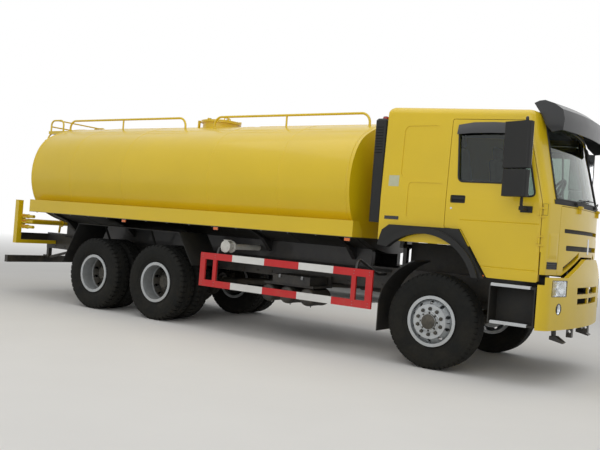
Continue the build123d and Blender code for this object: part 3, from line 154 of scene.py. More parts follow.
@dataclass(frozen=True)
class Finish:
    """A surface finish whose colour, gloss and relief vary as the real one's do.

    Attributes:
        name: Common name of the real material.
        colour: Its colour as sRGB hex.
        rough: Middle roughness.
        metal: 1 for bare metal.
        coat: Weight of a clear gloss over it.
        coat_rough: Roughness of that gloss.
        mottle_mm: Size of the soft patches in its colour.
        mottle: How far the patches go to lighter and darker.
        grain_mm: Size of its fine relief.
        grain: Height of the fine relief in millimetres.
        dust: How much road dust lies low down on it.
        see_through: Transmission of glass.
        ior: Refraction, or None for the usual one.
    """

    name: str
    colour: str
    rough: float = 0.5
    metal: float = 0.0
    coat: float = 0.0
    coat_rough: float = 0.05
    mottle_mm: float = 400.0
    mottle: float = 0.06
    grain_mm: float = 8.0
    grain: float = 0.05
    dust: float = 0.15
    see_through: float = 0.0
    ior: float | None = None

    def made(self) -> bpy.types.Material:
        """Build the material once and return it."""
        ready = bpy.data.materials.get(self.name)
        if ready:
            return ready
        material = bpy.data.materials.new(self.name)
        material.use_nodes = True
        tree = material.node_tree
        shader = tree.nodes["Principled BSDF"]
        for socket, value in (
            ("Metallic", self.metal),
            ("Coat Weight", self.coat),
            ("Coat Roughness", self.coat_rough),
            ("Transmission Weight", self.see_through),
            ("IOR", self.ior or shader.inputs["IOR"].default_value),
        ):
            shader.inputs[socket].default_value = value
        place = add_node(tree, "ShaderNodeTexCoord").outputs["Object"]
        tree.links.new(self.tinted(tree, self.base(tree, place), place), shader.inputs["Base Color"])
        wear = noise(tree, place, 1000 / self.mottle_mm * 3, 4.0)
        spread = 0.0 if self.see_through else 0.10
        smooth, dull = max(self.rough - spread * self.rough, 0.0), min(self.rough + spread, 1.0)
        tree.links.new(ramp(tree, wear, 0.0, 1.0, smooth, dull), shader.inputs["Roughness"])
        if self.grain:
            bump = {"Strength": 1.0, "Distance": self.grain / 1000}
            relief = add_node(tree, "ShaderNodeBump", bump, {"Height": self.relief(tree, place)})
            tree.links.new(relief.outputs["Normal"], shader.inputs["Normal"])
        return material

    def base(self, tree: Tree, place: Socket) -> Socket:
        """The plain colour before patches and dust: one colour all over."""
        node = add_node(tree, "ShaderNodeRGB")
        node.outputs[0].default_value = linear(self.colour)
        return node.outputs[0]

    def tinted(self, tree: Tree, colour: Socket, place: Socket) -> Socket:
        """Lay soft patches and road dust over a colour.

        Args:
            tree: The material's nodes.
            colour: The plain colour.
            place: Coordinates in metres.

        Returns:
            The colour as it shows.
        """
        patches = noise(tree, place, 1000 / self.mottle_mm, 5.0, 0.6)
        value = ramp(tree, patches, 0.3, 0.7, 1 - self.mottle, 1 + self.mottle)
        tint = add_node(tree, "ShaderNodeHueSaturation", None, {"Color": colour, "Value": value})
        shade = tint.outputs["Color"]
        if not self.dust:
            return shade
        low = ramp(tree, axis_of(tree, place, "Z"), 0.0, DUST_TOP_M, self.dust, self.dust * 0.08)
        cloud = ramp(tree, noise(tree, place, 5.0, 8.0, 0.7), 0.35, 0.7)
        share = combined(tree, "MULTIPLY", low, cloud)
        settled = {"data_type": "RGBA", 7: linear(DUST)}
        return add_node(tree, "ShaderNodeMix", settled, {0: share, 6: shade}).outputs[2]

    def relief(self, tree: Tree, place: Socket) -> Socket:
        """Height of the surface's fine relief: a round grain."""
        return noise(tree, place, 1000 / self.grain_mm, 3.0)


@dataclass(frozen=True)
class BandedEnamel(Finish):
    """Gloss enamel painted in two colours that change along the truck.

    Attributes:
        second: The other colour.
        bands: Start and end stations of the second colour, in millimetres.
    """

    second: str = "#e6e6e2"
    bands: tuple[Pair, ...] = ()

    def base(self, tree: Tree, place: Socket) -> Socket:
        """The two colours, chosen by station."""
        along = axis_of(tree, place, "X")
        total: Socket | None = None
        for start, end in self.bands:
            centre = (FRONT_AXLE_MM + (start + end) / 2) / 1000
            band = {"operation": "COMPARE", 1: centre, 2: abs(end - start) / 2000}
            inside = add_node(tree, "ShaderNodeMath", band, {0: along}).outputs[0]
            total = inside if total is None else combined(tree, "MAXIMUM", total, inside)
        return blend(tree, total, linear(self.colour), linear(self.second))


@dataclass(frozen=True)
class BlackBelowEnamel(Finish):
    """Enamel that turns black below a height.

    Attributes:
        seal: Colour below that height.
        black_top_mm: Height up to which that colour reaches.
        fade_mm: Half the height over which the edge fades.
    """

    seal: str = "#1b1b18"
    black_top_mm: float = 1441.0
    fade_mm: float = 4.0

    def base(self, tree: Tree, place: Socket) -> Socket:
        """The enamel above and the black below."""
        height = axis_of(tree, place, "Z")
        share = ramp(tree, height, (self.black_top_mm - self.fade_mm) / 1000, (self.black_top_mm + self.fade_mm) / 1000)
        return blend(tree, share, linear(self.seal), linear(self.colour))


@dataclass(frozen=True)
class ShadedDishEnamel(Finish):
    """Wheel enamel over the flange, with painted shade darkening the hollow round the hub.

    Attributes:
        dish_shade: Colour of the painted shade round the hub.
        dish_mm: Radius to which it reaches.
        shade_fade_mm: How far inside and outside that radius the painted shade fades out.
    """

    dish_shade: str = "#2c2d2c"
    dish_mm: float = 250.0
    shade_fade_mm: Pair = (12.0, 4.0)

    def base(self, tree: Tree, place: Socket) -> Socket:
        """Silver outside, painted shade inside, with a soft edge."""
        nearest: Socket | None = None
        for station in REAR_AXLES_MM.values():
            centre = ((FRONT_AXLE_MM + station) / 1000, 0.0, TYRE_RADIUS_MM / 1000)
            offset = add_node(tree, "ShaderNodeVectorMath", {"operation": "SUBTRACT", 1: centre}, {0: place})
            level = {"operation": "MULTIPLY", 1: (1.0, 0.0, 1.0)}
            flat = add_node(tree, "ShaderNodeVectorMath", level, {0: offset.outputs[0]})
            length = add_node(tree, "ShaderNodeVectorMath", {"operation": "LENGTH"}, {0: flat.outputs[0]})
            reach = length.outputs["Value"]
            nearest = reach if nearest is None else combined(tree, "MINIMUM", nearest, reach)
        inside, outside = self.shade_fade_mm
        share = ramp(tree, nearest, (self.dish_mm - inside) / 1000, (self.dish_mm + outside) / 1000)
        # painted shade: the dark colour inside the radius stands in for shade in the wheel's hollow
        return blend(tree, share, linear(self.dish_shade), linear(self.colour))


@dataclass(frozen=True)
class BrushedMetal(Finish):
    """Bare metal with fine drawn lines along the truck."""

    def relief(self, tree: Tree, place: Socket) -> Socket:
        """Lines stretched along X instead of a round grain."""
        drawn = add_node(tree, "ShaderNodeMapping", {"Scale": (0.03, 1.0, 1.0)}, {"Vector": place})
        return noise(tree, drawn.outputs[0], 1000 / self.grain_mm, 2.0)


@dataclass(frozen=True)
class CrossRibbed(Finish):
    """Surface with two crossed sets of small ribs: a lens's prisms, or woven threads.

    Attributes:
        rib_mm: Width of a rib, which is about half of the ribs' spacing.
    """

    rib_mm: float = 14.0

    def relief(self, tree: Tree, place: Socket) -> Socket:
        """Two crossed waves."""
        waves = []
        for direction in ("Y", "Z"):
            ribs = {"Scale": 1000 / self.rib_mm / WAVE_TURN, "bands_direction": direction}
            waves.append(add_node(tree, "ShaderNodeTexWave", ribs, {"Vector": place}).outputs["Fac"])
        return combined(tree, "MULTIPLY", *waves)


# what several finishes share
ENAMEL = {"rough": 0.36, "grain": 0.06}
YELLOW_COAT = ENAMEL | {
    "colour": "#d9b904", "coat": 0.3, "coat_rough": 0.1, "mottle_mm": 900, "mottle": 0.035,
    "grain_mm": 14, "dust": 0.12,
}
RED_COAT = ENAMEL | {"colour": "#c4000e", "coat": 0.2, "mottle_mm": 500, "mottle": 0.05, "grain_mm": 12}
LENS = {"rough": 0.15, "coat": 0.6, "mottle": 0.05, "grain": 0.5, "dust": 0.1}
CLEAN = {"grain": 0.0, "dust": 0.0}


class Paint(Enum):
    """Every finish on the truck."""

    # sprayed two-pack enamel, smooth with a faint orange peel that softens reflections
    YELLOW = Finish("yellow-enamel", **YELLOW_COAT)
    # the same enamel on tank and trays, turning black below a height
    TANK = BlackBelowEnamel("tank-enamel", **YELLOW_COAT)
    # black chassis paint over hot-rolled steel, satin and slightly lumpy
    CHASSIS = Finish(
        "chassis-enamel", "#17181a", rough=0.42, coat=0.15, mottle_mm=160, mottle=0.25, grain_mm=10,
        grain=0.12, dust=0.35,
    )
    # painted sand casting, coarse skin
    CASTING = Finish(
        "painted-casting", "#1d1e1f", rough=0.6, mottle_mm=90, mottle=0.3, grain_mm=5, grain=0.35, dust=0.45
    )
    # vulcanised rubber, dull with a film of road dust in the grooves
    RUBBER = Finish(
        "tyre-rubber", "#171817", rough=0.82, mottle_mm=60, mottle=0.18, grain_mm=4, grain=0.15, dust=0.06,
        ior=1.3,
    )
    # silver wheel paint with fine metal flake
    WHEEL_SILVER = Finish(
        "wheel-silver", "#b4b8ba", rough=0.38, metal=0.55, coat=0.3, mottle_mm=60, mottle=0.08, grain_mm=3,
        grain=0.05, dust=0.25,
    )
    # the same paint on the rear wheels, with painted shade darkening the hollow round each hub
    REAR_WHEEL = ShadedDishEnamel(
        "rear-wheel-enamel-painted-shade", "#b4b8ba", rough=0.42, metal=0.4, coat=0.2, mottle_mm=60, mottle=0.1, grain_mm=3,
        grain=0.05, dust=0.3,
    )
    # dark drums and hubs, oxidised iron under thin paint
    HUB_IRON = Finish(
        "hub-iron", "#3a3a38", rough=0.55, metal=0.3, mottle_mm=50, mottle=0.3, grain_mm=5, grain=0.3,
        dust=0.4,
    )
    # moulded polypropylene with a leather-like grain that stays matte; its own black is set darker still as
    # painted shade for the shade under the body
    PLASTIC = Finish(
        "grained-polypropylene", "#1b1c1c", rough=0.6, mottle_mm=300, mottle=0.08, grain_mm=3, grain=0.12,
        dust=0.15, ior=1.4,
    )
    # smooth black ABS, half gloss
    GLOSS_BLACK = Finish(
        "black-abs", "#141517", rough=0.22, coat=0.4, mottle_mm=300, mottle=0.06, grain_mm=20, grain=0.02,
        dust=0.1,
    )
    # extruded rubber seal
    SEAL = Finish(
        "seal-rubber", "#121212", rough=0.6, mottle_mm=80, mottle=0.1, grain_mm=4, grain=0.08, dust=0.1
    )
    # tinted laminated glass
    GLASS = Finish("tinted-glass", "#a9b8b0", rough=0.0, see_through=1.0, ior=1.45, mottle=0.0, **CLEAN)
    # smoked acrylic of the visor, dark with a hard gloss
    ACRYLIC = Finish(
        "smoked-acrylic", "#1d1f22", rough=0.3, coat=0.25, coat_rough=0.15, mottle_mm=500, mottle=0.05,
        grain=0.0, dust=0.05,
    )
    # silvered mirror glass
    MIRROR = Finish("silvered-glass", "#d8dcdf", rough=0.03, metal=1.0, mottle=0.0, **CLEAN)
    # vacuum-plated lamp bowl
    REFLECTOR = Finish(
        "plated-reflector", "#e4e6e8", rough=0.08, metal=1.0, mottle_mm=40, mottle=0.05, **CLEAN
    )
    # chrome plate on trim
    CHROME = Finish(
        "chrome-plate", "#c8cacc", rough=0.12, metal=1.0, mottle_mm=80, mottle=0.04, grain_mm=12, grain=0.03,
        dust=0.05,
    )
    # clear polycarbonate cover
    CLEAR_LENS = Finish(
        "clear-polycarbonate", "#f2f4f4", rough=0.02, see_through=1.0, ior=1.5, mottle=0.0, **CLEAN
    )
    # moulded red lens
    RED_LENS = CrossRibbed("red-lens", "#a3100e", **LENS)
    # moulded amber lens
    AMBER_LENS = CrossRibbed("amber-lens", "#d8680f", **LENS)
    # interior moulding, soft touch
    TRIM = Finish(
        "interior-moulding", "#55565a", rough=0.65, mottle_mm=120, mottle=0.06, grain_mm=2.5, grain=0.1,
        dust=0.0,
    )
    # woven seat cloth, its threads drawn five times as coarse as real so that they show
    CLOTH = CrossRibbed(
        "seat-cloth", "#3d4048", rough=0.9, mottle_mm=40, mottle=0.12, grain=0.5, dust=0.0, rib_mm=5.0
    )
    # drawn aluminium
    ALUMINIUM = BrushedMetal(
        "drawn-aluminium", "#b9bcbe", rough=0.34, metal=1.0, mottle_mm=120, mottle=0.06, grain_mm=2,
        grain=0.05, dust=0.2,
    )
    # galvanised or light-painted valve body
    VALVE = Finish(
        "pale-valve-paint", "#c9c9c2", rough=0.45, mottle_mm=60, mottle=0.12, grain_mm=5, grain=0.2, dust=0.3
    )
    # zinc-plated fasteners
    ZINC = Finish(
        "zinc-plate", "#8f9294", rough=0.35, metal=0.9, mottle_mm=20, mottle=0.12, grain_mm=3, grain=0.05,
        dust=0.2,
    )
    # gloss enamel of the side guards in five lengths
    GUARD = BandedEnamel(
        "guard-enamel", dust=0.25, second="#dcdcd8",
        bands=((-2889.0, -2350.0), (-1804.0, -1287.0)), **RED_COAT,
    )
    # red enamel
    RED = Finish("red-enamel", dust=0.2, **RED_COAT)
    # woven wire behind the slots
    MESH = Finish(
        "wire-mesh", "#0d0d0e", rough=0.6, mottle_mm=60, mottle=0.2, grain_mm=12, grain=1.5, dust=0.1
    )
    # pale adhesive sheet, blank
    BLANK_SHEET = Finish("blank-film", "#b9bb9c", rough=0.4, coat=0.2, mottle_mm=60, mottle=0.05, **CLEAN)


NODE_PAINT: dict[Paint, tuple[str, ...]] = {
    Paint.YELLOW: (
        "manhole_lid", "top_rails", "rear_ladder", "rear_platform", "rear_pipework",
        "cab_shell", "door_left", "door_right", "front_flap", "front_bumper",
    ),
    Paint.TANK: ("tank", "side_trays"),
    Paint.CHASSIS: (
        "frame_rails", "tank_cradle", "tilt_arms", "radiator", "guard_arms", "underrun_bar", "air_reservoirs",
        "silencer",
    ),
    Paint.CASTING: (
        "front_axle", "rear_axles", "front_springs", "rear_springs",
        "knuckle_left", "knuckle_right", "tie_rod", "engine_block", "driveline",
    ),
    Paint.PLASTIC: (
        "cab_arches", "intake_tower", "mirrors_left", "mirrors_right", "steps", "front_mudguards",
        "rear_mudguards",
    ),
    Paint.WHEEL_SILVER: ("front_rim_left", "front_rim_right"),
    Paint.REAR_WHEEL: ("middle_rims_left", "middle_rims_right", "rear_rims_left", "rear_rims_right"),
    Paint.GLASS: ("door_glass_left", "door_glass_right", "windscreen"),
    Paint.ACRYLIC: ("sun_visor",),
    Paint.MESH: ("flap_mesh",),
    Paint.GUARD: ("side_guards",),
    Paint.TRIM: ("dashboard",),
    Paint.CLOTH: ("seats",),
    Paint.ALUMINIUM: ("fuel_tank",),
    Paint.VALVE: ("pump_valve",),
    Paint.CLEAR_LENS: ("headlamps",),
    Paint.RED_LENS: ("tail_lamps",),
}


# Shapes


class Shape:
    """Faces gathered into one mesh, in metres in the frame of the truck."""

    def __init__(self, name: str) -> None:
        """Start an empty shape with a piece's name."""
        self.name = name
        self.mesh = bmesh.new()
        self.slots: list[Paint] = []
        self.painted = 0

    def paint(self, paint: Paint) -> "Shape":
        """Faces added from now on take this finish."""
        if paint not in self.slots:
            self.slots.append(paint)
        self.painted = self.slots.index(paint)
        return self

    def mark(self, faces: Iterable[bmesh.types.BMFace]) -> None:
        """Give new faces the current finish."""
        for face in faces:
            face.material_index = self.painted

    def box(self, centre: Vector, size_mm: Point, turn: Point = (0, 0, 0)) -> "Shape":
        """Add a block.

        Args:
            centre: Its middle.
            size_mm: Its sides in millimetres.
            turn: Its turns about X, Y and Z in degrees.

        Returns:
            This shape.
        """
        about = [Matrix.Rotation(math.radians(angle), 4, letter) for angle, letter in zip(turn, "XYZ")]
        turned = about[2] @ about[1] @ about[0]
        scaled = Matrix.Diagonal((size_mm[0] / 1000, size_mm[1] / 1000, size_mm[2] / 1000, 1))
        made = bmesh.ops.create_cube(self.mesh, size=1.0, matrix=Matrix.Translation(centre) @ turned @ scaled)
        self.mark({f for v in made["verts"] for f in v.link_faces})
        return self

    def turned(
        self, origin: Vector, axis: Vector, profile: Sequence[Pair], sides: int = 32, closed: bool = False
    ) -> "Shape":
        """Add a body turned about an axis.

        Args:
            origin: The point that the profile is measured from.
            axis: The axis that it turns about.
            profile: Distance along the axis and radius, both in millimetres.
            sides: Number of sides round.
            closed: True where the profile's last point joins its first.

        Returns:
            This shape.
        """
        axis = axis.normalized()
        first = axis.orthogonal().normalized()
        second = axis.cross(first)
        rings = []
        for along, radius in profile:
            centre = origin + axis * along / 1000
            if radius < 0.01:
                rings.append([self.mesh.verts.new(centre)])
                continue
            ring = []
            for u, v in circle(sides, 1.0):
                ring.append(self.mesh.verts.new(centre + (first * u + second * v) * radius / 1000))
            rings.append(ring)
        pairs = list(zip(rings, rings[1:])) + ([(rings[-1], rings[0])] if closed else [])
        faces = []
        for near, far in pairs:
            for i in range(sides):
                j = (i + 1) % sides
                if len(near) == 1 and len(far) == 1:
                    continue
                if len(near) == 1:
                    faces.append(self.mesh.faces.new((near[0], far[j], far[i])))
                elif len(far) == 1:
                    faces.append(self.mesh.faces.new((near[i], near[j], far[0])))
                else:
                    faces.append(self.mesh.faces.new((near[i], near[j], far[j], far[i])))
        self.mark(faces)
        return self

    def rod(self, points: Sequence[Vector], radius_mm: float, sides: int = 12, flat: float = 1.0) -> "Shape":
        """Add a round bar along a run of points.

        Args:
            points: The run's points.
            radius_mm: The bar's radius.
            sides: Number of sides round.
            flat: Thickness across the second direction, as a share of the first.

        Returns:
            This shape.
        """
        rings = []
        side_way: Vector | None = None
        for i, point in enumerate(points):
            before = points[max(i - 1, 0)]
            after = points[min(i + 1, len(points) - 1)]
            way = (after - before).normalized()
            if side_way is None:
                side_way = way.orthogonal().normalized()
            side_way = (side_way - way * side_way.dot(way)).normalized()
            other = way.cross(side_way)
            reaches = [side_way * u + other * v * flat for u, v in circle(sides, 1.0)]
            rings.append([self.mesh.verts.new(point + reach * radius_mm / 1000) for reach in reaches])
        faces = [self.mesh.faces.new(rings[0][::-1]), self.mesh.faces.new(rings[-1])]
        for near, far in zip(rings, rings[1:]):
            for i in range(sides):
                j = (i + 1) % sides
                faces.append(self.mesh.faces.new((near[i], near[j], far[j], far[i])))
        self.mark(faces)
        return self

    def hoop(self, points: Sequence[Vector], radius_mm: float, sides: int = 8, flat: float = 1.0) -> "Shape":
        """Add a bar along a closed run of points, lapped at its joint."""
        return self.rod([*points, *points[:2]], radius_mm, sides, flat)

    def slab(self, outline: Sequence[Vector], thickness: Vector) -> "Shape":
        """Add a plate from its outline and the vector of its thickness."""
        near = [self.mesh.verts.new(p) for p in outline]
        far = [self.mesh.verts.new(p + thickness) for p in outline]
        faces = [self.mesh.faces.new(near[::-1]), self.mesh.faces.new(far)]
        for i in range(len(near)):
            j = (i + 1) % len(near)
            faces.append(self.mesh.faces.new((near[i], near[j], far[j], far[i])))
        self.mark(faces)
        return self

    def skin(self, rows: Sequence[Sequence[Vector]], thickness: Vector | None = None) -> "Shape":
        """Add a curved plate from a grid of points, closed all round where it has a thickness."""
        near = [[self.mesh.verts.new(p) for p in row] for row in rows]
        faces = [
            self.mesh.faces.new((near[i][j], near[i][j + 1], near[i + 1][j + 1], near[i + 1][j]))
            for i in range(len(rows) - 1)
            for j in range(len(rows[0]) - 1)
        ]
        if thickness is not None:
            far = [[self.mesh.verts.new(p + thickness) for p in row] for row in rows]
            faces += [
                self.mesh.faces.new((far[i + 1][j], far[i + 1][j + 1], far[i][j + 1], far[i][j]))
                for i in range(len(rows) - 1)
                for j in range(len(rows[0]) - 1)
            ]
            last_row, last = len(rows) - 1, len(rows[0]) - 1
            rim = [(0, j) for j in range(last)] + [(i, last) for i in range(last_row)]
            rim += [(last_row, j) for j in range(last, 0, -1)] + [(i, 0) for i in range(last_row, 0, -1)]
            for (a, b), (c, d) in zip(rim, rim[1:] + rim[:1]):
                faces.append(self.mesh.faces.new((near[c][d], near[a][b], far[a][b], far[c][d])))
        self.mark(faces)
        return self

    def nut(self, base: Vector, axis: Vector, across_mm: float, height_mm: float) -> "Shape":
        """Add a hexagon nut on its washer with a domed stud end."""
        half = across_mm / 2 / math.cos(math.pi / 6)
        top = height_mm
        self.turned(base, axis, [(0, 0), (0, half * 1.2), (3, half * 1.2), (3, half)], sides=12)
        stud = [(top, half * 0.5), (top + 6, half * 0.45), (top + 8, 0)]
        self.turned(base, axis, [(3, half), (top - 2, half), (top, half * 0.82)] + stud, sides=6)
        return self

    def piece(
        self, body: str, bevel_mm: float = 0.0, slot: str | None = None, replaces: Sequence[str] = (),
        crease_deg: float = 35.0,
    ) -> bpy.types.Object:
        """Finish the mesh as a piece that rides on a body.

        Args:
            body: The body that carries it.
            bevel_mm: Width of the softened edges, or 0.
            slot: The record's material slot that it stands for; not used.
            replaces: Nodes that it stands for.
            crease_deg: Edges sharper than this stay sharp.

        Returns:
            The new object.
        """
        bmesh.ops.recalc_face_normals(self.mesh, faces=self.mesh.faces)
        data = bpy.data.meshes.new(self.name)
        self.mesh.to_mesh(data)
        self.mesh.free()
        for paint in self.slots:
            data.materials.append(paint.value.made())
        data.polygons.foreach_set("use_smooth", [True] * len(data.polygons))
        data.set_sharp_from_angle(angle=math.radians(crease_deg))
        item = bpy.data.objects.new(self.name, data)
        bpy.context.scene.collection.objects.link(item)
        if bevel_mm:
            softened = item.modifiers.new("softened", "BEVEL")
            softened.width = bevel_mm / 1000
            softened.segments = 2
            softened.limit_method = "ANGLE"
            softened.angle_limit = math.radians(SOFT_EDGE_DEG)
            softened.harden_normals = False
        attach(item, body)
        if replaces:
            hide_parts(*replaces)
        log.info("%s: %d faces on %s", self.name, len(data.polygons), body)
        return item


def arc_at(before: Vector, corner: Vector, after: Vector, reach: float, steps: int) -> list[Vector]:
    """Points of the bend that rounds a corner between two others, from a reach before it to one after it."""
    start = corner + (before - corner).normalized() * reach
    end = corner + (after - corner).normalized() * reach
    shares = even(0.0, 1.0, steps)
    return [start * (1 - t) ** 2 + corner * 2 * t * (1 - t) + end * t**2 for t in shares]


def bent(points: Sequence[Vector], bend_mm: float, steps: int = 6) -> list[Vector]:
    """Round the corners of a run of points.

    Args:
        points: Corner points in metres.
        bend_mm: Distance from each corner at which its bend starts.
        steps: Number of steps in each bend.

    Returns:
        Points of the rounded run.
    """
    run = [points[0].copy()]
    for before, corner, after in zip(points, points[1:], points[2:]):
        reach = min(bend_mm / 1000, (before - corner).length * 0.49, (after - corner).length * 0.49)
        run += arc_at(before, corner, after, reach, steps)
    run.append(points[-1].copy())
    return run


def loop_of(points: Sequence[Pair], bend: float, steps: int = 5) -> list[Pair]:
    """A closed outline of corner points with rounded corners, in the plane."""
    outline = []
    count = len(points)
    for i in range(count):
        before, corner, after = (Vector(points[(i + k) % count]) for k in (-1, 0, 1))
        reach = min(bend, (before - corner).length * 0.45, (after - corner).length * 0.45)
        outline += [(p.x, p.y) for p in arc_at(before, corner, after, reach, steps)]
    return outline


# Wheels


@dataclass
class Tread:
    """Pattern of a tyre's tread.

    Attributes:
        pitches: Number of blocks round.
        grooves_mm: Middle of each groove round the tyre, across its width.
        groove_mm: Width of those grooves.
        depth_mm: Their depth.
        lug_reach_mm: How far the cross grooves reach in from the shoulder.
        lug_share: Share of a pitch that is cross groove.
    """

    pitches: int
    grooves_mm: tuple[float, ...]
    groove_mm: float
    depth_mm: float
    lug_reach_mm: float
    lug_share: float


STEER_TREAD = Tread(54, (-66.0, -22.0, 22.0, 66.0), 9.0, 13.0, 22.0, 0.16)
DRIVE_TREAD = Tread(44, (-38.0, 38.0), 12.0, 16.0, 60.0, 0.26)


@dataclass
class Tyre:
    """One radial tyre with grooved tread, ribbed sidewalls and bead.

    Attributes:
        tread: Pattern of its tread.
        width_mm: Width over the sidewalls.
        bead_mm: Half the width at the beads.
        seat_mm: Radius of the rim's barrel.
        tread_half_mm: Half the width of the tread.
        lug_floor_mm: Radius above which the cross grooves reach round the shoulder.
        wall_share: Share of a pitch in which a cross groove's wall falls.
        skew_turn: How far the tread's halves are turned against each other, as an angle by pitches.
    """

    tread: Tread
    width_mm: float = 300.0
    bead_mm: float = 109.0
    seat_mm: float = 264.5
    tread_half_mm: float = 112.0
    lug_floor_mm: float = 520.0
    wall_share: float = 0.03
    skew_turn: float = 0.35

    def half_profile(self) -> list[Pair]:
        """Offset and radius from the bead out to the tread's shoulder, on the positive side."""
        bead, half = self.bead_mm, self.width_mm / 2
        foot = [(bead, self.seat_mm), (bead + 2, 300), (bead + 10, 308), (bead + 13, 318)]
        wall = (
            (20, 338), (12, 352), (10, 356), (9, 356), (6, 372), (1, 410), (0, 432), (1, 452),
            (3, 470), (2, 474), (4, 480), (6, 486), (11, 508), (14, 526),
        )
        return foot + [(half - inset, radius) for inset, radius in wall] + [(self.tread_half_mm + 12, 540)]

    def across(self) -> list[tuple[float, float, bool]]:
        """Offsets and radii across the tread from + to -, each with whether a lug groove lowers it."""
        top, floor = TYRE_RADIUS_MM, TYRE_RADIUS_MM - self.tread.depth_mm
        shoulder, inner = self.tread_half_mm, self.tread_half_mm - self.tread.lug_reach_mm
        rows = [(shoulder, top - 1, True), (inner + 0.5, top, True), (inner, top, False)]
        for middle in sorted(self.tread.grooves_mm, reverse=True):
            edge, far = middle + self.tread.groove_mm / 2, middle - self.tread.groove_mm / 2
            rows += [(edge, top, False), (edge - 1.5, floor, False)]
            rows += [(far + 1.5, floor, False), (far, top, False)]
        rows += [(-inner, top, False), (-inner - 0.5, top, True), (-shoulder, top - 1, True)]
        return sorted(rows, key=lambda row: -row[0])

    def add_to(self, shape: Shape, station: float, y: float) -> None:
        """Add the tyre to a shape.

        Args:
            shape: The shape that takes it.
            station: Axle station in millimetres.
            y: Middle of the tyre across the truck.
        """
        side = self.half_profile()
        near_rows = [(u, r, r > self.lug_floor_mm) for u, r in side]
        far_rows = [(-u, r, lowers) for u, r, lowers in reversed(near_rows)]
        rows = near_rows + self.across() + far_rows
        centre = spot(station, y, TYRE_RADIUS_MM)
        share = self.tread.lug_share
        wall = self.wall_share
        phases = [(0.0, False), (1 - share - wall, False), (1 - share, True), (1 - wall, True)]
        columns = []
        for pitch in range(self.tread.pitches):
            for phase, lowered in phases:
                columns.append(((pitch + phase) / self.tread.pitches * 2 * math.pi, lowered))
        grid = []
        for angle, lowered in columns:
            column = []
            for u, r, cut in rows:
                skew = self.skew_turn / self.tread.pitches * (1 if u > 0 else -1)
                radius = r - (self.tread.depth_mm if cut and lowered else 0)
                turn = angle + (skew if abs(u) < self.tread_half_mm + 1 else 0)
                place = Vector((math.cos(turn) * radius, u, math.sin(turn) * radius)) / 1000
                column.append(shape.mesh.verts.new(centre + place))
            grid.append(column)
        faces = []
        for i in range(len(grid)):
            near, far = grid[i], grid[(i + 1) % len(grid)]
            for k in range(len(rows)):
                m = (k + 1) % len(rows)
                faces.append(shape.mesh.faces.new((near[k], near[m], far[m], far[k])))
        shape.mark(faces)


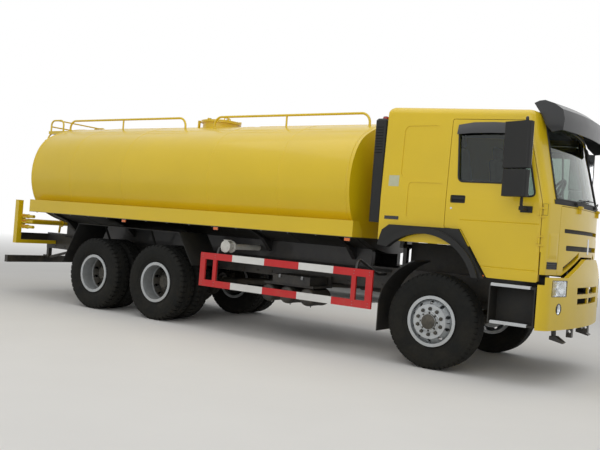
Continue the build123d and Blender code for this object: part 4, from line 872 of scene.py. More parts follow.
@dataclass
class WheelSet:
    """All tyres, with the nuts, caps and valves on their rims.

    Attributes:
        front_y_mm: Middle of the front tyres across the truck.
        twin_y_mm: Middles of the inner and outer rear tyres.
        nut_circle_mm: Radius of the circle of nuts.
        nuts: Number of nuts on a rim.
        valve_mm: Height of the tyre valves.
        front_disc_mm: Outer face of a front rim's disc, outward of the tyre's middle.
        twin_disc_mm: Outer face of the twin rims' discs, inward of the outer tyre's middle.
    """

    front_y_mm: float = 1011.0
    twin_y_mm: Pair = (742.0, 1087.0)
    nut_circle_mm: float = 146.0
    nuts: int = 10
    valve_mm: float = 556.0
    front_disc_mm: float = 172.0
    twin_disc_mm: float = 160.0

    def build(self) -> None:
        """Build every wheel's pieces."""
        for side_name, side in SIDES.items():
            shape = Shape(f"front_tyre_{side_name}_rubber").paint(Paint.RUBBER)
            Tyre(STEER_TREAD).add_to(shape, 0, side * self.front_y_mm)
            shape.piece(f"front_wheel_{side_name}", slot="tyre_rubber", replaces=(f"front_tyre_{side_name}",))
            self.front_hardware(side_name, side)
            for axle, station in REAR_AXLES_MM.items():
                shape = Shape(f"{axle}_tyres_{side_name}_rubber").paint(Paint.RUBBER)
                for y in self.twin_y_mm:
                    Tyre(DRIVE_TREAD).add_to(shape, station, side * y)
                shape.piece(
                    f"{axle}_wheels_{side_name}", slot="tyre_rubber", replaces=(f"{axle}_tyres_{side_name}",)
                )
                self.rear_hardware(axle, station, side_name, side)

    def rim_nuts(self, shape: Shape, station: float, y: float, side: int) -> None:
        """Add the nuts that clamp a rim's disc."""
        for u, v in circle(self.nuts, self.nut_circle_mm, 0.5):
            shape.nut(spot(station + u, y, TYRE_RADIUS_MM + v), Vector((0, side, 0)), 32, 26)

    def hub_bolts(self, shape: Shape, station: float, y: float, count: int, radius: float) -> None:
        """Add a circle of small bolts on a hub."""
        for u, v in circle(count, radius):
            shape.nut(spot(station + u, y, TYRE_RADIUS_MM + v), Vector((0, y, 0)).normalized(), 17, 10)

    def front_hardware(self, side_name: str, side: int) -> None:
        """Nuts, nut ring, hub cap and valve of a front wheel."""
        face = side * (self.front_y_mm + self.front_disc_mm)
        axis = Vector((0, side, 0))
        shape = Shape(f"front_wheel_hardware_{side_name}").paint(Paint.WHEEL_SILVER)
        nut_ring = [(0, 128), (7, 126), (9, 122), (9, 116), (0, 114)]
        shape.turned(spot(0, face, TYRE_RADIUS_MM), axis, nut_ring, sides=60)
        shape.paint(Paint.HUB_IRON)
        self.rim_nuts(shape, 0, face, side)
        cap = [(-24, 90), (-10, 90), (2, 84), (10, 66), (12, 0)]
        shape.turned(spot(0, side * 1218, TYRE_RADIUS_MM), axis, cap, sides=48)
        self.hub_bolts(shape, 0, side * 1195, 8, 100.0)
        shape.paint(Paint.SEAL)
        valve = ((232, 1150), (232, 1176), (226, 1190))
        shape.rod([spot(x, side * y, self.valve_mm) for x, y in valve], 5, sides=8)
        shape.piece(f"front_wheel_{side_name}")

    def rear_hardware(self, axle: str, station: float, side_name: str, side: int) -> None:
        """Nuts, dark hub flange and cap of a pair of rear wheels."""
        face = side * (self.twin_y_mm[1] - self.twin_disc_mm)
        axis = Vector((0, side, 0))
        shape = Shape(f"{axle}_wheel_hardware_{side_name}").paint(Paint.HUB_IRON)
        self.rim_nuts(shape, station, face, side)
        for y, profile in (
            (1010, [(-60, 113.5), (-4, 113.5), (1, 108), (1, 86)]),
            (1035, [(-22, 86), (-3, 86), (3, 78), (3, 40), (9, 34), (9, 0)]),
        ):
            shape.turned(spot(station, side * y, TYRE_RADIUS_MM), axis, profile, sides=48)
        self.hub_bolts(shape, station, side * 1010, 10, 97.0)
        shape.paint(Paint.SEAL)
        shape.rod(
            [spot(station + x, side * y, self.valve_mm) for x, y in ((236, 1000), (240, 1120))], 5, sides=8
        )
        shape.piece(f"{axle}_wheels_{side_name}")


# Cab


@dataclass
class CabSkin:
    """The cab's outer skin, so that trim lies on it.

    Attributes:
        half_width_mm: Half width up to the waist.
        roof_half_mm: Half width at the roof.
        front_mm: Station of the front at the middle, up to the waist.
        roof_front_mm: Station of the front at the roof.
        waist_mm: Height of the waist.
        top_mm: Height that the upper taper runs to.
        arc_mm: Radius of the front in plan.
        corner_mm: Radius of its corners in plan.
    """

    half_width_mm: float = 1150.0
    roof_half_mm: float = 1095.0
    front_mm: float = 1395.0
    roof_front_mm: float = 1125.0
    waist_mm: float = 1967.0
    top_mm: float = 3056.0
    arc_mm: float = 3600.0
    corner_mm: float = 110.0

    def share(self, z: float) -> float:
        """How far a height lies between the waist and the roof."""
        return max(0.0, (z - self.waist_mm) / (self.top_mm - self.waist_mm))

    def flank(self, side: int, x: float, z: float, proud: float = 0.0) -> Vector:
        """Point on a side of the cab, or proud of it."""
        half = self.half_width_mm + (self.roof_half_mm - self.half_width_mm) * self.share(z)
        return spot(x, side * (half + proud), z)

    def front(self, y: float, z: float, proud: float = 0.0) -> Vector:
        """Point on the front of the cab, or proud of it."""
        x = self.front_mm + (self.roof_front_mm - self.front_mm) * self.share(z)
        radius = self.arc_mm + proud
        return spot(x - self.arc_mm + math.sqrt(radius**2 - y**2), y, z)

    def corner(self, side: int, turn_deg: float, z: float, proud: float = 0.0) -> Vector:
        """Point on a rounded front corner below the waist, turned from straight ahead to the side."""
        turn = math.radians(turn_deg)
        radius = self.corner_mm + proud
        centre_y = self.half_width_mm - self.corner_mm
        centre_x = self.front_mm - self.arc_mm + math.sqrt((self.arc_mm - self.corner_mm) ** 2 - centre_y**2)
        return spot(centre_x + radius * math.cos(turn), side * (centre_y + radius * math.sin(turn)), z)


SKIN = CabSkin()


@dataclass
class CabTrim:
    """Seals, handles, deflectors, mirror glass, blank plates, cowl, visor and wipers of the cab.

    Attributes:
        window_mm: Corners of a door's window in side view.
        screen_mm: Corners of the windscreen in front view.
        visor_arc_mm: Radius of the roof's front edge in plan.
        visor_axis_mm: Station of that arc's centre.
        visor_half_deg: Half the visor's width as an angle.
    """

    window_mm: tuple[Pair, ...] = (
        (157, 2800), (205, 2165), (763, 2160), (800, 2025), (1085, 2025), (915, 2790)
    )
    screen_mm: tuple[Pair, ...] = ((-960, 2020), (960, 2020), (890, 2850), (-890, 2850))
    visor_arc_mm: float = 3600.0
    visor_axis_mm: float = -2475.0
    visor_half_deg: float = 15.4

    def build(self) -> None:
        """Build all trim of the cab."""
        for side_name, side in SIDES.items():
            self.window_seal(side_name, side)
            self.handle(side_name, side)
            self.deflector(side_name, side)
            self.mirror_faces(side_name, side)
            self.blank_places(side_name, side)
        self.screen_seal()
        self.cowl()
        self.visor()
        self.wipers()

    def window_seal(self, side_name: str, side: int) -> None:
        """Rubber seal round a door's window, with the division bar in front."""
        shape = Shape(f"window_seal_{side_name}").paint(Paint.SEAL)
        outline = loop_of(self.window_mm, 60, 6)
        shape.hoop([SKIN.flank(side, x, z, 0.5) for x, z in outline], 11)
        shape.rod([SKIN.flank(side, 778, 2162, -2), SKIN.flank(side, 742, 2795, -2)], 13, sides=8)
        shape.piece(f"door_{side_name}")

    def handle(self, side_name: str, side: int) -> None:
        """Black cup and grip in a door's recess, with the lock below it."""
        shape = Shape(f"door_handle_{side_name}").paint(Paint.PLASTIC)
        outline = loop_of(((134, 1925), (300, 1925), (300, 2003), (134, 2003)), 14, 4)
        shape.hoop([SKIN.flank(side, x, z, 1.5) for x, z in outline], 5)
        shape.slab([SKIN.flank(side, x, z, -21) for x, z in outline], Vector((0, side * 0.003, 0)))
        shape.box(spot(225, side * 1143, 1977), (160, 15, 36))
        shape.paint(Paint.CHROME)
        lock = [(0, 12), (4, 12), (4, 4), (3, 0)]
        shape.turned(spot(144, side * 1149, 1858), Vector((0, side, 0)), lock, sides=20)
        shape.piece(f"door_{side_name}", bevel_mm=3)

    def deflector(self, side_name: str, side: int) -> None:
        """Smoked wind deflector over a door's window."""
        shape = Shape(f"window_deflector_{side_name}").paint(Paint.ACRYLIC)
        upper = [(150, 2812), (330, 2838), (560, 2838), (760, 2826), (925, 2800)]
        lower = [(150, 2700), (330, 2712), (560, 2712), (760, 2706), (925, 2690)]
        rows = [
            [SKIN.flank(side, x, z, 6) for x, z in upper],
            [SKIN.flank(side, (a[0] + b[0]) / 2, (a[1] + b[1]) / 2, 24) for a, b in zip(upper, lower)],
            [SKIN.flank(side, x, z, 34) for x, z in lower],
        ]
        shape.skin(rows, Vector((0, -side * 0.004, 0)))
        shape.piece(f"door_{side_name}")

    def mirror_faces(self, side_name: str, side: int) -> None:
        """Mirror glass on the two housings, with the arm's clamps."""
        shape = Shape(f"mirror_faces_{side_name}").paint(Paint.MIRROR)
        turn = Matrix.Rotation(math.radians(side * 15), 3, "Z")
        for bottom, top, half in ((2300, 2790, 155), (2003, 2285, 145)):
            middle = spot(935, side * 1385, (bottom + top) / 2)
            across = turn @ Vector((1, 0, 0))
            back = turn @ Vector((0, -side, 0))
            wide, high = half - 14, (top - bottom) / 2 - 14
            outline = loop_of(((-wide, -high), (wide, -high), (wide, high), (-wide, high)), 30, 5)
            glass = [middle + across * u / 1000 + Vector((0, 0, v / 1000)) for u, v in outline]
            shape.slab([p + back * 0.0505 for p in glass], back * 0.002)
        shape.paint(Paint.PLASTIC)
        for height in (1885, 2310, 2780):
            clamp = [(0, 17), (4, 24), (40, 24), (44, 17)]
            shape.turned(spot(1000, side * 1345, height - 22), Vector((0, 0, 1)), clamp, sides=20)
        shape.piece(f"door_{side_name}")

    def blank_places(self, side_name: str, side: int) -> None:
        """A blank strip low on the rear corner, and a blank film above it on the right."""
        shape = Shape(f"blank_plate_{side_name}").paint(Paint.GLOSS_BLACK)
        strip = ((-690, 1690), (-505, 1690), (-505, 1730), (-690, 1730))
        shape.slab([SKIN.flank(side, x, z, 0.3) for x, z in strip], Vector((0, side * 0.003, 0)))
        if side < 0:
            shape.paint(Paint.BLANK_SHEET)
            film = ((-672, 2085), (-538, 2085), (-538, 2215), (-672, 2215))
            shape.slab([SKIN.flank(side, x, z, 0.3) for x, z in film], Vector((0, side * 0.0006, 0)))
        shape.piece("cab")

    def screen_seal(self) -> None:
        """Rubber seal round the windscreen."""
        shape = Shape("windscreen_seal").paint(Paint.SEAL)
        corners = []
        for (y0, z0), (y1, z1) in zip(self.screen_mm, self.screen_mm[1:] + self.screen_mm[:1]):
            corners += [(y0 + (y1 - y0) * k / 8, z0 + (z1 - z0) * k / 8) for k in range(8)]
        shape.hoop([SKIN.front(y, z, 1) for y, z in corners], 13)
        shape.piece("cab")

    def cowl(self) -> None:
        """Black cowl panel at the foot of the windscreen."""
        shape = Shape("cowl_panel").paint(Paint.PLASTIC)
        widths = even(-1000, 1000, 20)
        rows = [[SKIN.front(y, z, proud) for y in widths] for z, proud in ((1966, 2), (1990, 10), (2014, 8))]
        shape.skin(rows, Vector((-0.006, 0, 0)))
        shape.piece("cab")

    def visor(self) -> None:
        """Helmet-like sun visor: a smoked hood along the roof's arc, with end cheeks and five brackets."""
        shape = Shape("visor_hood").paint(Paint.ACRYLIC)
        outer = [(-62, 3068), (0, 3090), (70, 3092), (190, 3046), (290, 2975), (318, 2870), (306, 2752)]
        inner = [(296, 2754), (306, 2868), (280, 2966), (184, 3034), (68, 3080), (0, 3078), (-56, 3058)]
        cheek = outer + [(180, 2735), (92, 2822), (40, 2930), (-20, 3010)]
        turns = [math.radians(self.visor_half_deg * (i / 16 - 1)) for i in range(33)]
        section = outer + inner + outer[:1]
        shape.skin([[self.on_arc(turn, ahead, z) for ahead, z in section] for turn in turns])
        for turn in (turns[0], turns[-1]):
            out = Vector((0, 0.008 * math.copysign(1, turn), 0))
            shape.slab([self.on_arc(turn, ahead, z) for ahead, z in cheek], out)
        for turn_deg in (-12.5, -6.3, 0, 6.3, 12.5):
            shape.box(self.on_arc(math.radians(turn_deg), 50, 2925), (190, 14, 24), (0, 15, turn_deg))
        shape.piece("cab", bevel_mm=3, replaces=("sun_visor",))

    def on_arc(self, turn: float, ahead: float, z: float) -> Vector:
        """Point ahead of the roof's front edge, by its turn round the edge's centre."""
        reach = self.visor_arc_mm + ahead
        return spot(self.visor_axis_mm + reach * math.cos(turn), reach * math.sin(turn), z)

    def wipers(self) -> None:
        """Two wipers parked along the foot of the windscreen."""
        shape = Shape("wipers").paint(Paint.PLASTIC)
        for pivot, tip in ((-560, 120), (150, 800)):
            base = SKIN.front(pivot, 1996, 30)
            boss = [(0, 20), (34, 20), (40, 14), (42, 0)]
            shape.turned(base - Vector((0.03, 0, 0)), Vector((1, 0, 0.2)), boss, sides=20)
            arm = [
                base + Vector((0.004, 0, 0)), SKIN.front(pivot + 200, 2035, 34),
                SKIN.front(tip - 220, 2075, 26),
            ]
            shape.rod(bent(arm, 120), 7, sides=8, flat=0.6)
            blade = [SKIN.front(tip - 540 + 90 * i, 2048 + 4 * i, 12) for i in range(8)]
            shape.rod(blade, 8, sides=6, flat=0.7)
            shape.rod([SKIN.front(tip - 220, 2075, 26), SKIN.front(tip - 225, 2062, 12)], 6, sides=8)
        shape.piece("cab")


# Front end


@dataclass
class BumperFace:
    """The bumper's front face, so that lamps lie in it.

    Attributes:
        front_mm: Station of its middle.
        arc_mm: Its radius in plan.
    """

    front_mm: float = 1450.0
    arc_mm: float = 4500.0

    def point(self, y: float, z: float, proud: float = 0.0) -> Vector:
        """Point on the face, or proud of it."""
        return spot(self.front_mm - self.arc_mm + math.sqrt((self.arc_mm + proud) ** 2 - y**2), y, z)

    def outward(self, y: float) -> Vector:
        """Direction out of the face at a width."""
        return Vector((math.sqrt(self.arc_mm**2 - y**2), y, 0)).normalized()


BUMPER = BumperFace()


@dataclass
class FrontLamps:
    """Headlamps and fog lamps with plated bowls, bulb shields and clear covers.

    Attributes:
        inner_mm: Inner end of a headlamp across the truck.
        outer_mm: Its outer end.
        low_mm: Its lower edge.
        high_mm: Its upper edge.
        step_mm: Spacing of the points of the plated reflector.
        bowls_mm: Width, height and radius of each bowl.
        fog_mm: Width, height and radius of the fog lamp.
    """

    inner_mm: float = 774.0
    outer_mm: float = 1088.0
    low_mm: float = 983.0
    high_mm: float = 1146.0
    step_mm: float = 4.0
    bowls_mm: tuple[Point, ...] = (
        (1044, 1106, 38), (962, 1106, 40), (1044, 1023, 36), (962, 1022, 38), (852, 1065, 66),
    )
    fog_mm: Point = (930.0, 846.0, 60.0)

    def depth(self, y: float, z: float) -> float:
        """How far the plated reflector lies behind the bumper's face."""
        if min(y - self.inner_mm, self.outer_mm - y, z - self.low_mm, self.high_mm - z) < 2:
            return 8.0
        for bowl_y, bowl_z, radius in self.bowls_mm:
            reach = math.hypot(y - bowl_y, z - bowl_z) / radius
            if reach < 1:
                return 26 + 34 * (1 - reach**2)
        return 22.0

    def build(self) -> None:
        """Build the reflectors, the bulb shields and the covers."""
        plated = Shape("headlamp_reflectors").paint(Paint.REFLECTOR)
        cover = Shape("headlamp_covers").paint(Paint.CLEAR_LENS)
        columns = round((self.outer_mm - self.inner_mm) / self.step_mm)
        levels = round((self.high_mm - self.low_mm) / self.step_mm)
        for side in SIDES.values():
            widths = even(self.inner_mm, self.outer_mm, columns)
            heights = even(self.low_mm, self.high_mm, levels)
            plated.skin([[BUMPER.point(side * y, z, -self.depth(y, z)) for y in widths] for z in heights])
            lens_rows = []
            for i, z in enumerate(even(self.low_mm, self.high_mm, 8)):
                swell = 4 * (1 - (2 * i / 8 - 1) ** 4)
                widths = even(self.inner_mm, self.outer_mm, 16)
                lens_rows.append([BUMPER.point(side * y, z, -5 + swell) for y in widths])
            cover.skin(lens_rows, Vector((-0.0035, 0, 0)))
            for bowl_y, bowl_z, radius in self.bowls_mm:
                out = BUMPER.outward(side * bowl_y)
                foot = BUMPER.point(side * bowl_y, bowl_z, -61)
                shield = [(0, 0), (0, 8), (22, 8), (30, radius * 0.2), (34, radius * 0.2), (38, 0)]
                plated.turned(foot, out, shield, sides=20)
            self.fog_lamp(plated, cover, side)
        plated.piece("chassis", replaces=("headlamps",), crease_deg=50)
        cover.piece("chassis")
        self.surround()

    def fog_lamp(self, plated: Shape, cover: Shape, side: int) -> None:
        """Add the small round lamp low in the bumper."""
        y, z, radius = self.fog_mm
        out = BUMPER.outward(side * y)
        middle = BUMPER.point(side * y, z, 0)
        bowl = [(-8, radius + 1), (-14, radius - 4), (-30, radius * 0.78), (-42, radius * 0.45), (-46, 0)]
        plated.turned(middle, out, bowl, sides=40)
        bulb = [(-46, 0), (-46, 8), (-22, 8), (-16, 14), (-12, 0)]
        plated.turned(middle, out, bulb, sides=20)
        lens = [(-9, 0), (-8, radius - 1), (-3, radius), (1, radius * 0.8), (4, radius * 0.4), (5, 0)]
        cover.turned(middle, out, lens, sides=40)

    def surround(self) -> None:
        """Black seams round the lamps and the rings of the fog lamps."""
        shape = Shape("lamp_surrounds").paint(Paint.GLOSS_BLACK)
        corners = ((770, 979), (1094, 979), (1094, 1150), (770, 1150))
        outline = loop_of(corners, 12, 4)
        seam = []
        for (y0, z0), (y1, z1) in zip(outline, outline[1:] + outline[:1]):
            steps = max(1, round(math.hypot(y1 - y0, z1 - z0) / 40))
            seam += [(y0 + (y1 - y0) * k / steps, z0 + (z1 - z0) * k / steps) for k in range(steps)]
        ring = [(-12, 61.5), (1, 61.5), (3, 59), (1, 56), (-10, 55)]
        y, z = self.fog_mm[:2]
        for side in SIDES.values():
            shape.hoop([BUMPER.point(side * u, v, -1) for u, v in seam], 4, sides=6)
            shape.turned(BUMPER.point(side * y, z), BUMPER.outward(side * y), ring, sides=40, closed=True)
        shape.piece("chassis")


@dataclass
class FrontTrim:
    """Corner panels, side vents, the plain bright bar and the seams of the front.

    Attributes:
        inner_mm: Inner edge of the corner panels across the truck.
        outer_mm: Their outer edge.
    """

    inner_mm: float = 884.0
    outer_mm: float = 1062.0

    def build(self) -> None:
        """Build the trim of the front."""
        self.corner_panels()
        self.side_vents()
        self.bright_bar()
        self.hinge_caps()

    def raised(self, shape: Shape, side: int, low: float, high: float, rise: float) -> None:
        """Add a softly raised pressing to a front corner.

        Args:
            shape: The shape that takes it.
            side: 1 for the left.
            low: Its lower edge.
            high: Its upper edge.
            rise: How far its middle stands proud.
        """
        across = (0.0, 0.04, 0.09, 0.16, 0.5, 0.84, 0.91, 0.96, 1.0)
        lift = (0.0, 0.35, 0.8, 1.0, 1.0, 1.0, 0.8, 0.35, 0.0)
        rows = []
        for v, up in zip(across, lift):
            z = low + (high - low) * v
            row = []
            for u, out in zip(across, lift):
                y = self.inner_mm + (self.outer_mm - self.inner_mm) * u
                row.append(SKIN.front(side * y, z, 0.4 + rise * min(up, out)))
            rows.append(row)
        shape.skin(rows)

    def corner_panels(self) -> None:
        """Raised pressings beside the flap."""
        shape = Shape("corner_pressings").paint(Paint.YELLOW)
        for side in SIDES.values():
            self.raised(shape, side, 1376, 1652, 7)
        shape.piece("cab", crease_deg=60)

    def side_vents(self) -> None:
        """Black louvred vents below the corner pressings."""
        shape = Shape("corner_vents").paint(Paint.MESH)
        widths = even(self.inner_mm, self.outer_mm + 6, 8)
        for side in SIDES.values():
            back = [[SKIN.front(side * y, z, 1.0) for y in widths] for z in (1268, 1338)]
            shape.skin(back, Vector((-0.002, 0, 0)))
        shape.paint(Paint.GLOSS_BLACK)
        for side in SIDES.values():
            for z in (1268, 1291, 1314, 1338):
                shape.rod([SKIN.front(side * y, z, 2.0) for y in widths], 4.5, sides=6)
            for y in (widths[0], widths[-1]):
                shape.rod([SKIN.front(side * y, z, 2.0) for z in (1266, 1340)], 4.5, sides=6)
        shape.piece("cab")

    def bright_bar(self) -> None:
        """Plain bright bar on the middle of the flap, across its second slot."""
        shape = Shape("flap_bright_bar").paint(Paint.CHROME)
        widths, heights = (-22, -18, -10, 0, 10, 18, 22), (1446, 1452, 1500, 1560, 1620, 1626)
        rows = [[SKIN.front(y, z, 3 + 9 * (1 - (y / 22) ** 2)) for y in widths] for z in heights]
        shape.skin(rows, Vector((-0.004, 0, 0)))
        shape.piece("front_flap", bevel_mm=1.5)

    def hinge_caps(self) -> None:
        """Small covers on the corners beside the door's upper edge, with their shut lines."""
        shape = Shape("corner_caps").paint(Paint.YELLOW)
        for side in SIDES.values():
            turns = (38, 46, 54, 62)
            rows = [[SKIN.corner(side, turn, z, 2.0) for turn in turns] for z in (1836, 1953)]
            shape.skin(rows, Vector((-0.001, -side * 0.001, 0)))
        shape.paint(Paint.SEAL)
        for side in SIDES.values():
            low = [SKIN.corner(side, turn, 1834, 0.6) for turn in (36, 46, 56, 64)]
            high = [SKIN.corner(side, turn, 1955, 0.6) for turn in (64, 56, 46, 36)]
            shape.hoop(low + high, 1.6, sides=6)
        shape.piece("cab")


# Tank, trays and rear end


@dataclass
class TankFittings:
    """Weld beads, end rings, manhole nuts, lamps and bolts of the tank and its trays.

    Attributes:
        seams_mm: Stations of the welds round the tank.
        middle_mm: Height of the tank's middle.
        marker_stations_mm: Stations of the marker lamps under the trays.
        manhole_mm: Station of the manhole.
        bead_y_m: About how far from the middle the long welds run.
        bead_low_m: Height above which they are looked for.
        flange_drop_m: How far the lid's flange lies below its top.
    """

    seams_mm: tuple[float, ...] = (-2260.0, -3480.0, -5200.0, -6420.0)
    middle_mm: float = 2050.0
    marker_stations_mm: tuple[float, ...] = (-5050.0, -3226.0, -1126.0)
    manhole_mm: float = -4337.0
    bead_y_m: float = 0.70
    bead_low_m: float = 2.5
    flange_drop_m: float = 0.066

    def section(self, station: float) -> list[Vector]:
        """The tank's outline at a station, in order round it."""
        cut = bmesh.new()
        cut.from_mesh(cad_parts["tank"].data)
        plane = spot(station, 0, 0)
        whole = cut.verts[:] + cut.edges[:] + cut.faces[:]
        found = bmesh.ops.bisect_plane(cut, geom=whole, plane_co=plane, plane_no=(1, 0, 0))
        points = [v.co.copy() for v in found["geom_cut"] if isinstance(v, bmesh.types.BMVert)]
        cut.free()
        middle = spot(station, 0, self.middle_mm)
        points.sort(key=lambda p: math.atan2(p.z - middle.z, p.y - middle.y))
        return points

    def ring(self, shape: Shape, station: float, radius: float, flat: float) -> None:
        """Add a bead round the tank at a station."""
        points = self.section(station)
        spaced = [points[0]]
        for point in points[1:]:
            if (point - spaced[-1]).length > 0.03:
                spaced.append(point)
        if len(spaced) > 8:
            shape.hoop(spaced, radius, sides=6, flat=flat)

    def build(self) -> None:
        """Build the fittings of the tank."""
        shape = Shape("tank_welds").paint(Paint.TANK)
        for station in self.seams_mm:
            self.ring(shape, station, 5, 0.5)
        for station in (-1215, -7372):
            self.ring(shape, station, 9, 0.6)
        self.long_beads(shape)
        shape.piece("chassis", crease_deg=60)
        self.manhole()
        self.markers()
        self.tray_bolts()

    def long_beads(self, shape: Shape) -> None:
        """Add the long welds on the upper flanks."""
        for side in SIDES.values():
            run = []
            for station in range(-7300, -1200, 610):
                upper = [p for p in self.section(station) if p.y * side > 0 and p.z > self.bead_low_m]
                run.append(min(upper, key=lambda p: abs(abs(p.y) - self.bead_y_m)))
            level = sum(p.z for p in run) / len(run)
            width = sum(abs(p.y) for p in run) / len(run)
            shape.rod([Vector((p.x, side * width, level)) for p in (run[0], run[-1])], 5, sides=6, flat=0.6)

    def manhole(self) -> None:
        """Nuts round the manhole lid, on its flange."""
        shape = Shape("manhole_nuts").paint(Paint.ZINC)
        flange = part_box("manhole_lid")[1][2] - self.flange_drop_m
        for u, v in circle(6, 262.0, 0.5):
            foot = spot(self.manhole_mm + u, v, 0)
            shape.nut(Vector((foot.x, foot.y, flange)), Vector((0, 0, 1)), 24, 16)
        shape.piece("manhole_lid")

    def markers(self) -> None:
        """Amber lamps on the brackets under the trays."""
        shape = Shape("tray_marker_lamps").paint(Paint.AMBER_LENS)
        for side in SIDES.values():
            for station in self.marker_stations_mm:
                shape.box(spot(station, side * 1243.5, 1407), (76, 15, 34))
        shape.paint(Paint.ZINC)
        for side in SIDES.values():
            for station in self.marker_stations_mm:
                for step in (-36, 36):
                    shape.nut(spot(station + step, side * 1241, 1428), Vector((0, side, 0)), 8, 4)
        shape.piece("chassis", bevel_mm=3)

    def tray_bolts(self) -> None:
        """Bolts along the trays' lower lips."""
        shape = Shape("tray_bolts").paint(Paint.ZINC)
        for side in SIDES.values():
            for i in range(15):
                shape.nut(spot(-7200 + i * 430, side * 1206, 1435), Vector((0, 0, -1)), 14, 8)
        shape.piece("chassis")


@dataclass
class RearEnd:
    """Tail lamps, blank plate, flange bolts, levers and work lamp at the rear.

    Attributes:
        lamp_y_mm: Middle of each tail lamp across the truck.
        lamp_z_mm: Its height, which the plate and the reflectors share.
        pipe_mm: Station of the pipes.
    """

    lamp_y_mm: float = 800.0
    lamp_z_mm: float = 990.0
    pipe_mm: float = -7700.0

    def build(self) -> None:
        """Build the rear's fittings."""
        self.tail_lamps()
        self.flange_bolts()
        self.levers()
        self.work_lamp()

    def tail_lamps(self) -> None:
        """Black housings with red, amber and clear lenses, and a blank plate between them."""
        housing = Shape("tail_lamp_housings").paint(Paint.GLOSS_BLACK)
        z = self.lamp_z_mm
        gland = [(0, 14), (16, 12), (18, 7), (60, 6)]
        for side in SIDES.values():
            housing.box(spot(-7968, side * self.lamp_y_mm, z), (48, 380, 100))
            housing.turned(spot(-7968, side * 620, z), Vector((0, -side, 0)), gland, sides=16)
        housing.paint(Paint.BLANK_SHEET)
        housing.box(spot(-7947, 0, z), (4, 440, 118))
        housing.piece("chassis", bevel_mm=4, replaces=("tail_lamps",))
        lenses = Shape("tail_lamp_lenses")
        for paint, start in ((Paint.RED_LENS, -176), (Paint.AMBER_LENS, -56), (Paint.RED_LENS, 64)):
            lenses.paint(paint)
            for side in SIDES.values():
                lenses.box(spot(-7993, side * (self.lamp_y_mm + start + 56), z), (11, 108, 86))
        lenses.piece("chassis", bevel_mm=4)
        red = Shape("rear_reflectors").paint(Paint.RED_LENS)
        for side in SIDES.values():
            disc = [(0, 0), (0, 34), (4, 34), (5.5, 30), (5.8, 0)]
            red.turned(spot(-7944, side * 1045, z), Vector((-1, 0, 0)), disc, sides=28)
        red.piece("chassis")

    def flange_bolts(self) -> None:
        """Bolts round the flanges of the delivery pipe."""
        shape = Shape("flange_bolts").paint(Paint.ZINC)
        for y in (610.0, -300.0, -1100.0):
            for u, v in circle(8, 58.0, 0.5):
                shape.nut(spot(self.pipe_mm + u, y + 8, 1260 + v), Vector((0, 1, 0)), 14, 9)
        shape.piece("chassis")

    def levers(self) -> None:
        """Red levers of the branch valves."""
        shape = Shape("valve_levers").paint(Paint.RED)
        for height in (1170, 1260, 1350):
            bar = ((-7560, -1218, 4), (-7560, -1232, 6), (-7480, -1238, 12), (-7440, -1238, 14))
            shape.rod(bent([spot(x, y, height + z) for x, y, z in bar], 12), 6, sides=8, flat=0.6)
        shape.piece("chassis")

    def work_lamp(self) -> None:
        """Round work lamp on a bent pipe behind the platform."""
        shape = Shape("platform_work_lamp").paint(Paint.YELLOW)
        run = [spot(-7963, -460, 2880), spot(-7963, -520, 2820), spot(-7963, -540, 2740)]
        shape.rod(bent(run, 40), 14, sides=12)
        middle, aim = spot(-7948, -540, 2700), Vector((-1, -0.2, -0.3))
        shape.turned(middle, aim, [(-50, 0), (-46, 30), (-10, 62), (20, 66), (26, 62), (18, 56)], sides=28)
        shape.paint(Paint.CLEAR_LENS)
        shape.turned(middle, aim, [(10, 0), (12, 54), (17, 56), (22, 40), (24, 0)], sides=28)
        shape.piece("chassis")


# Sides and underframe


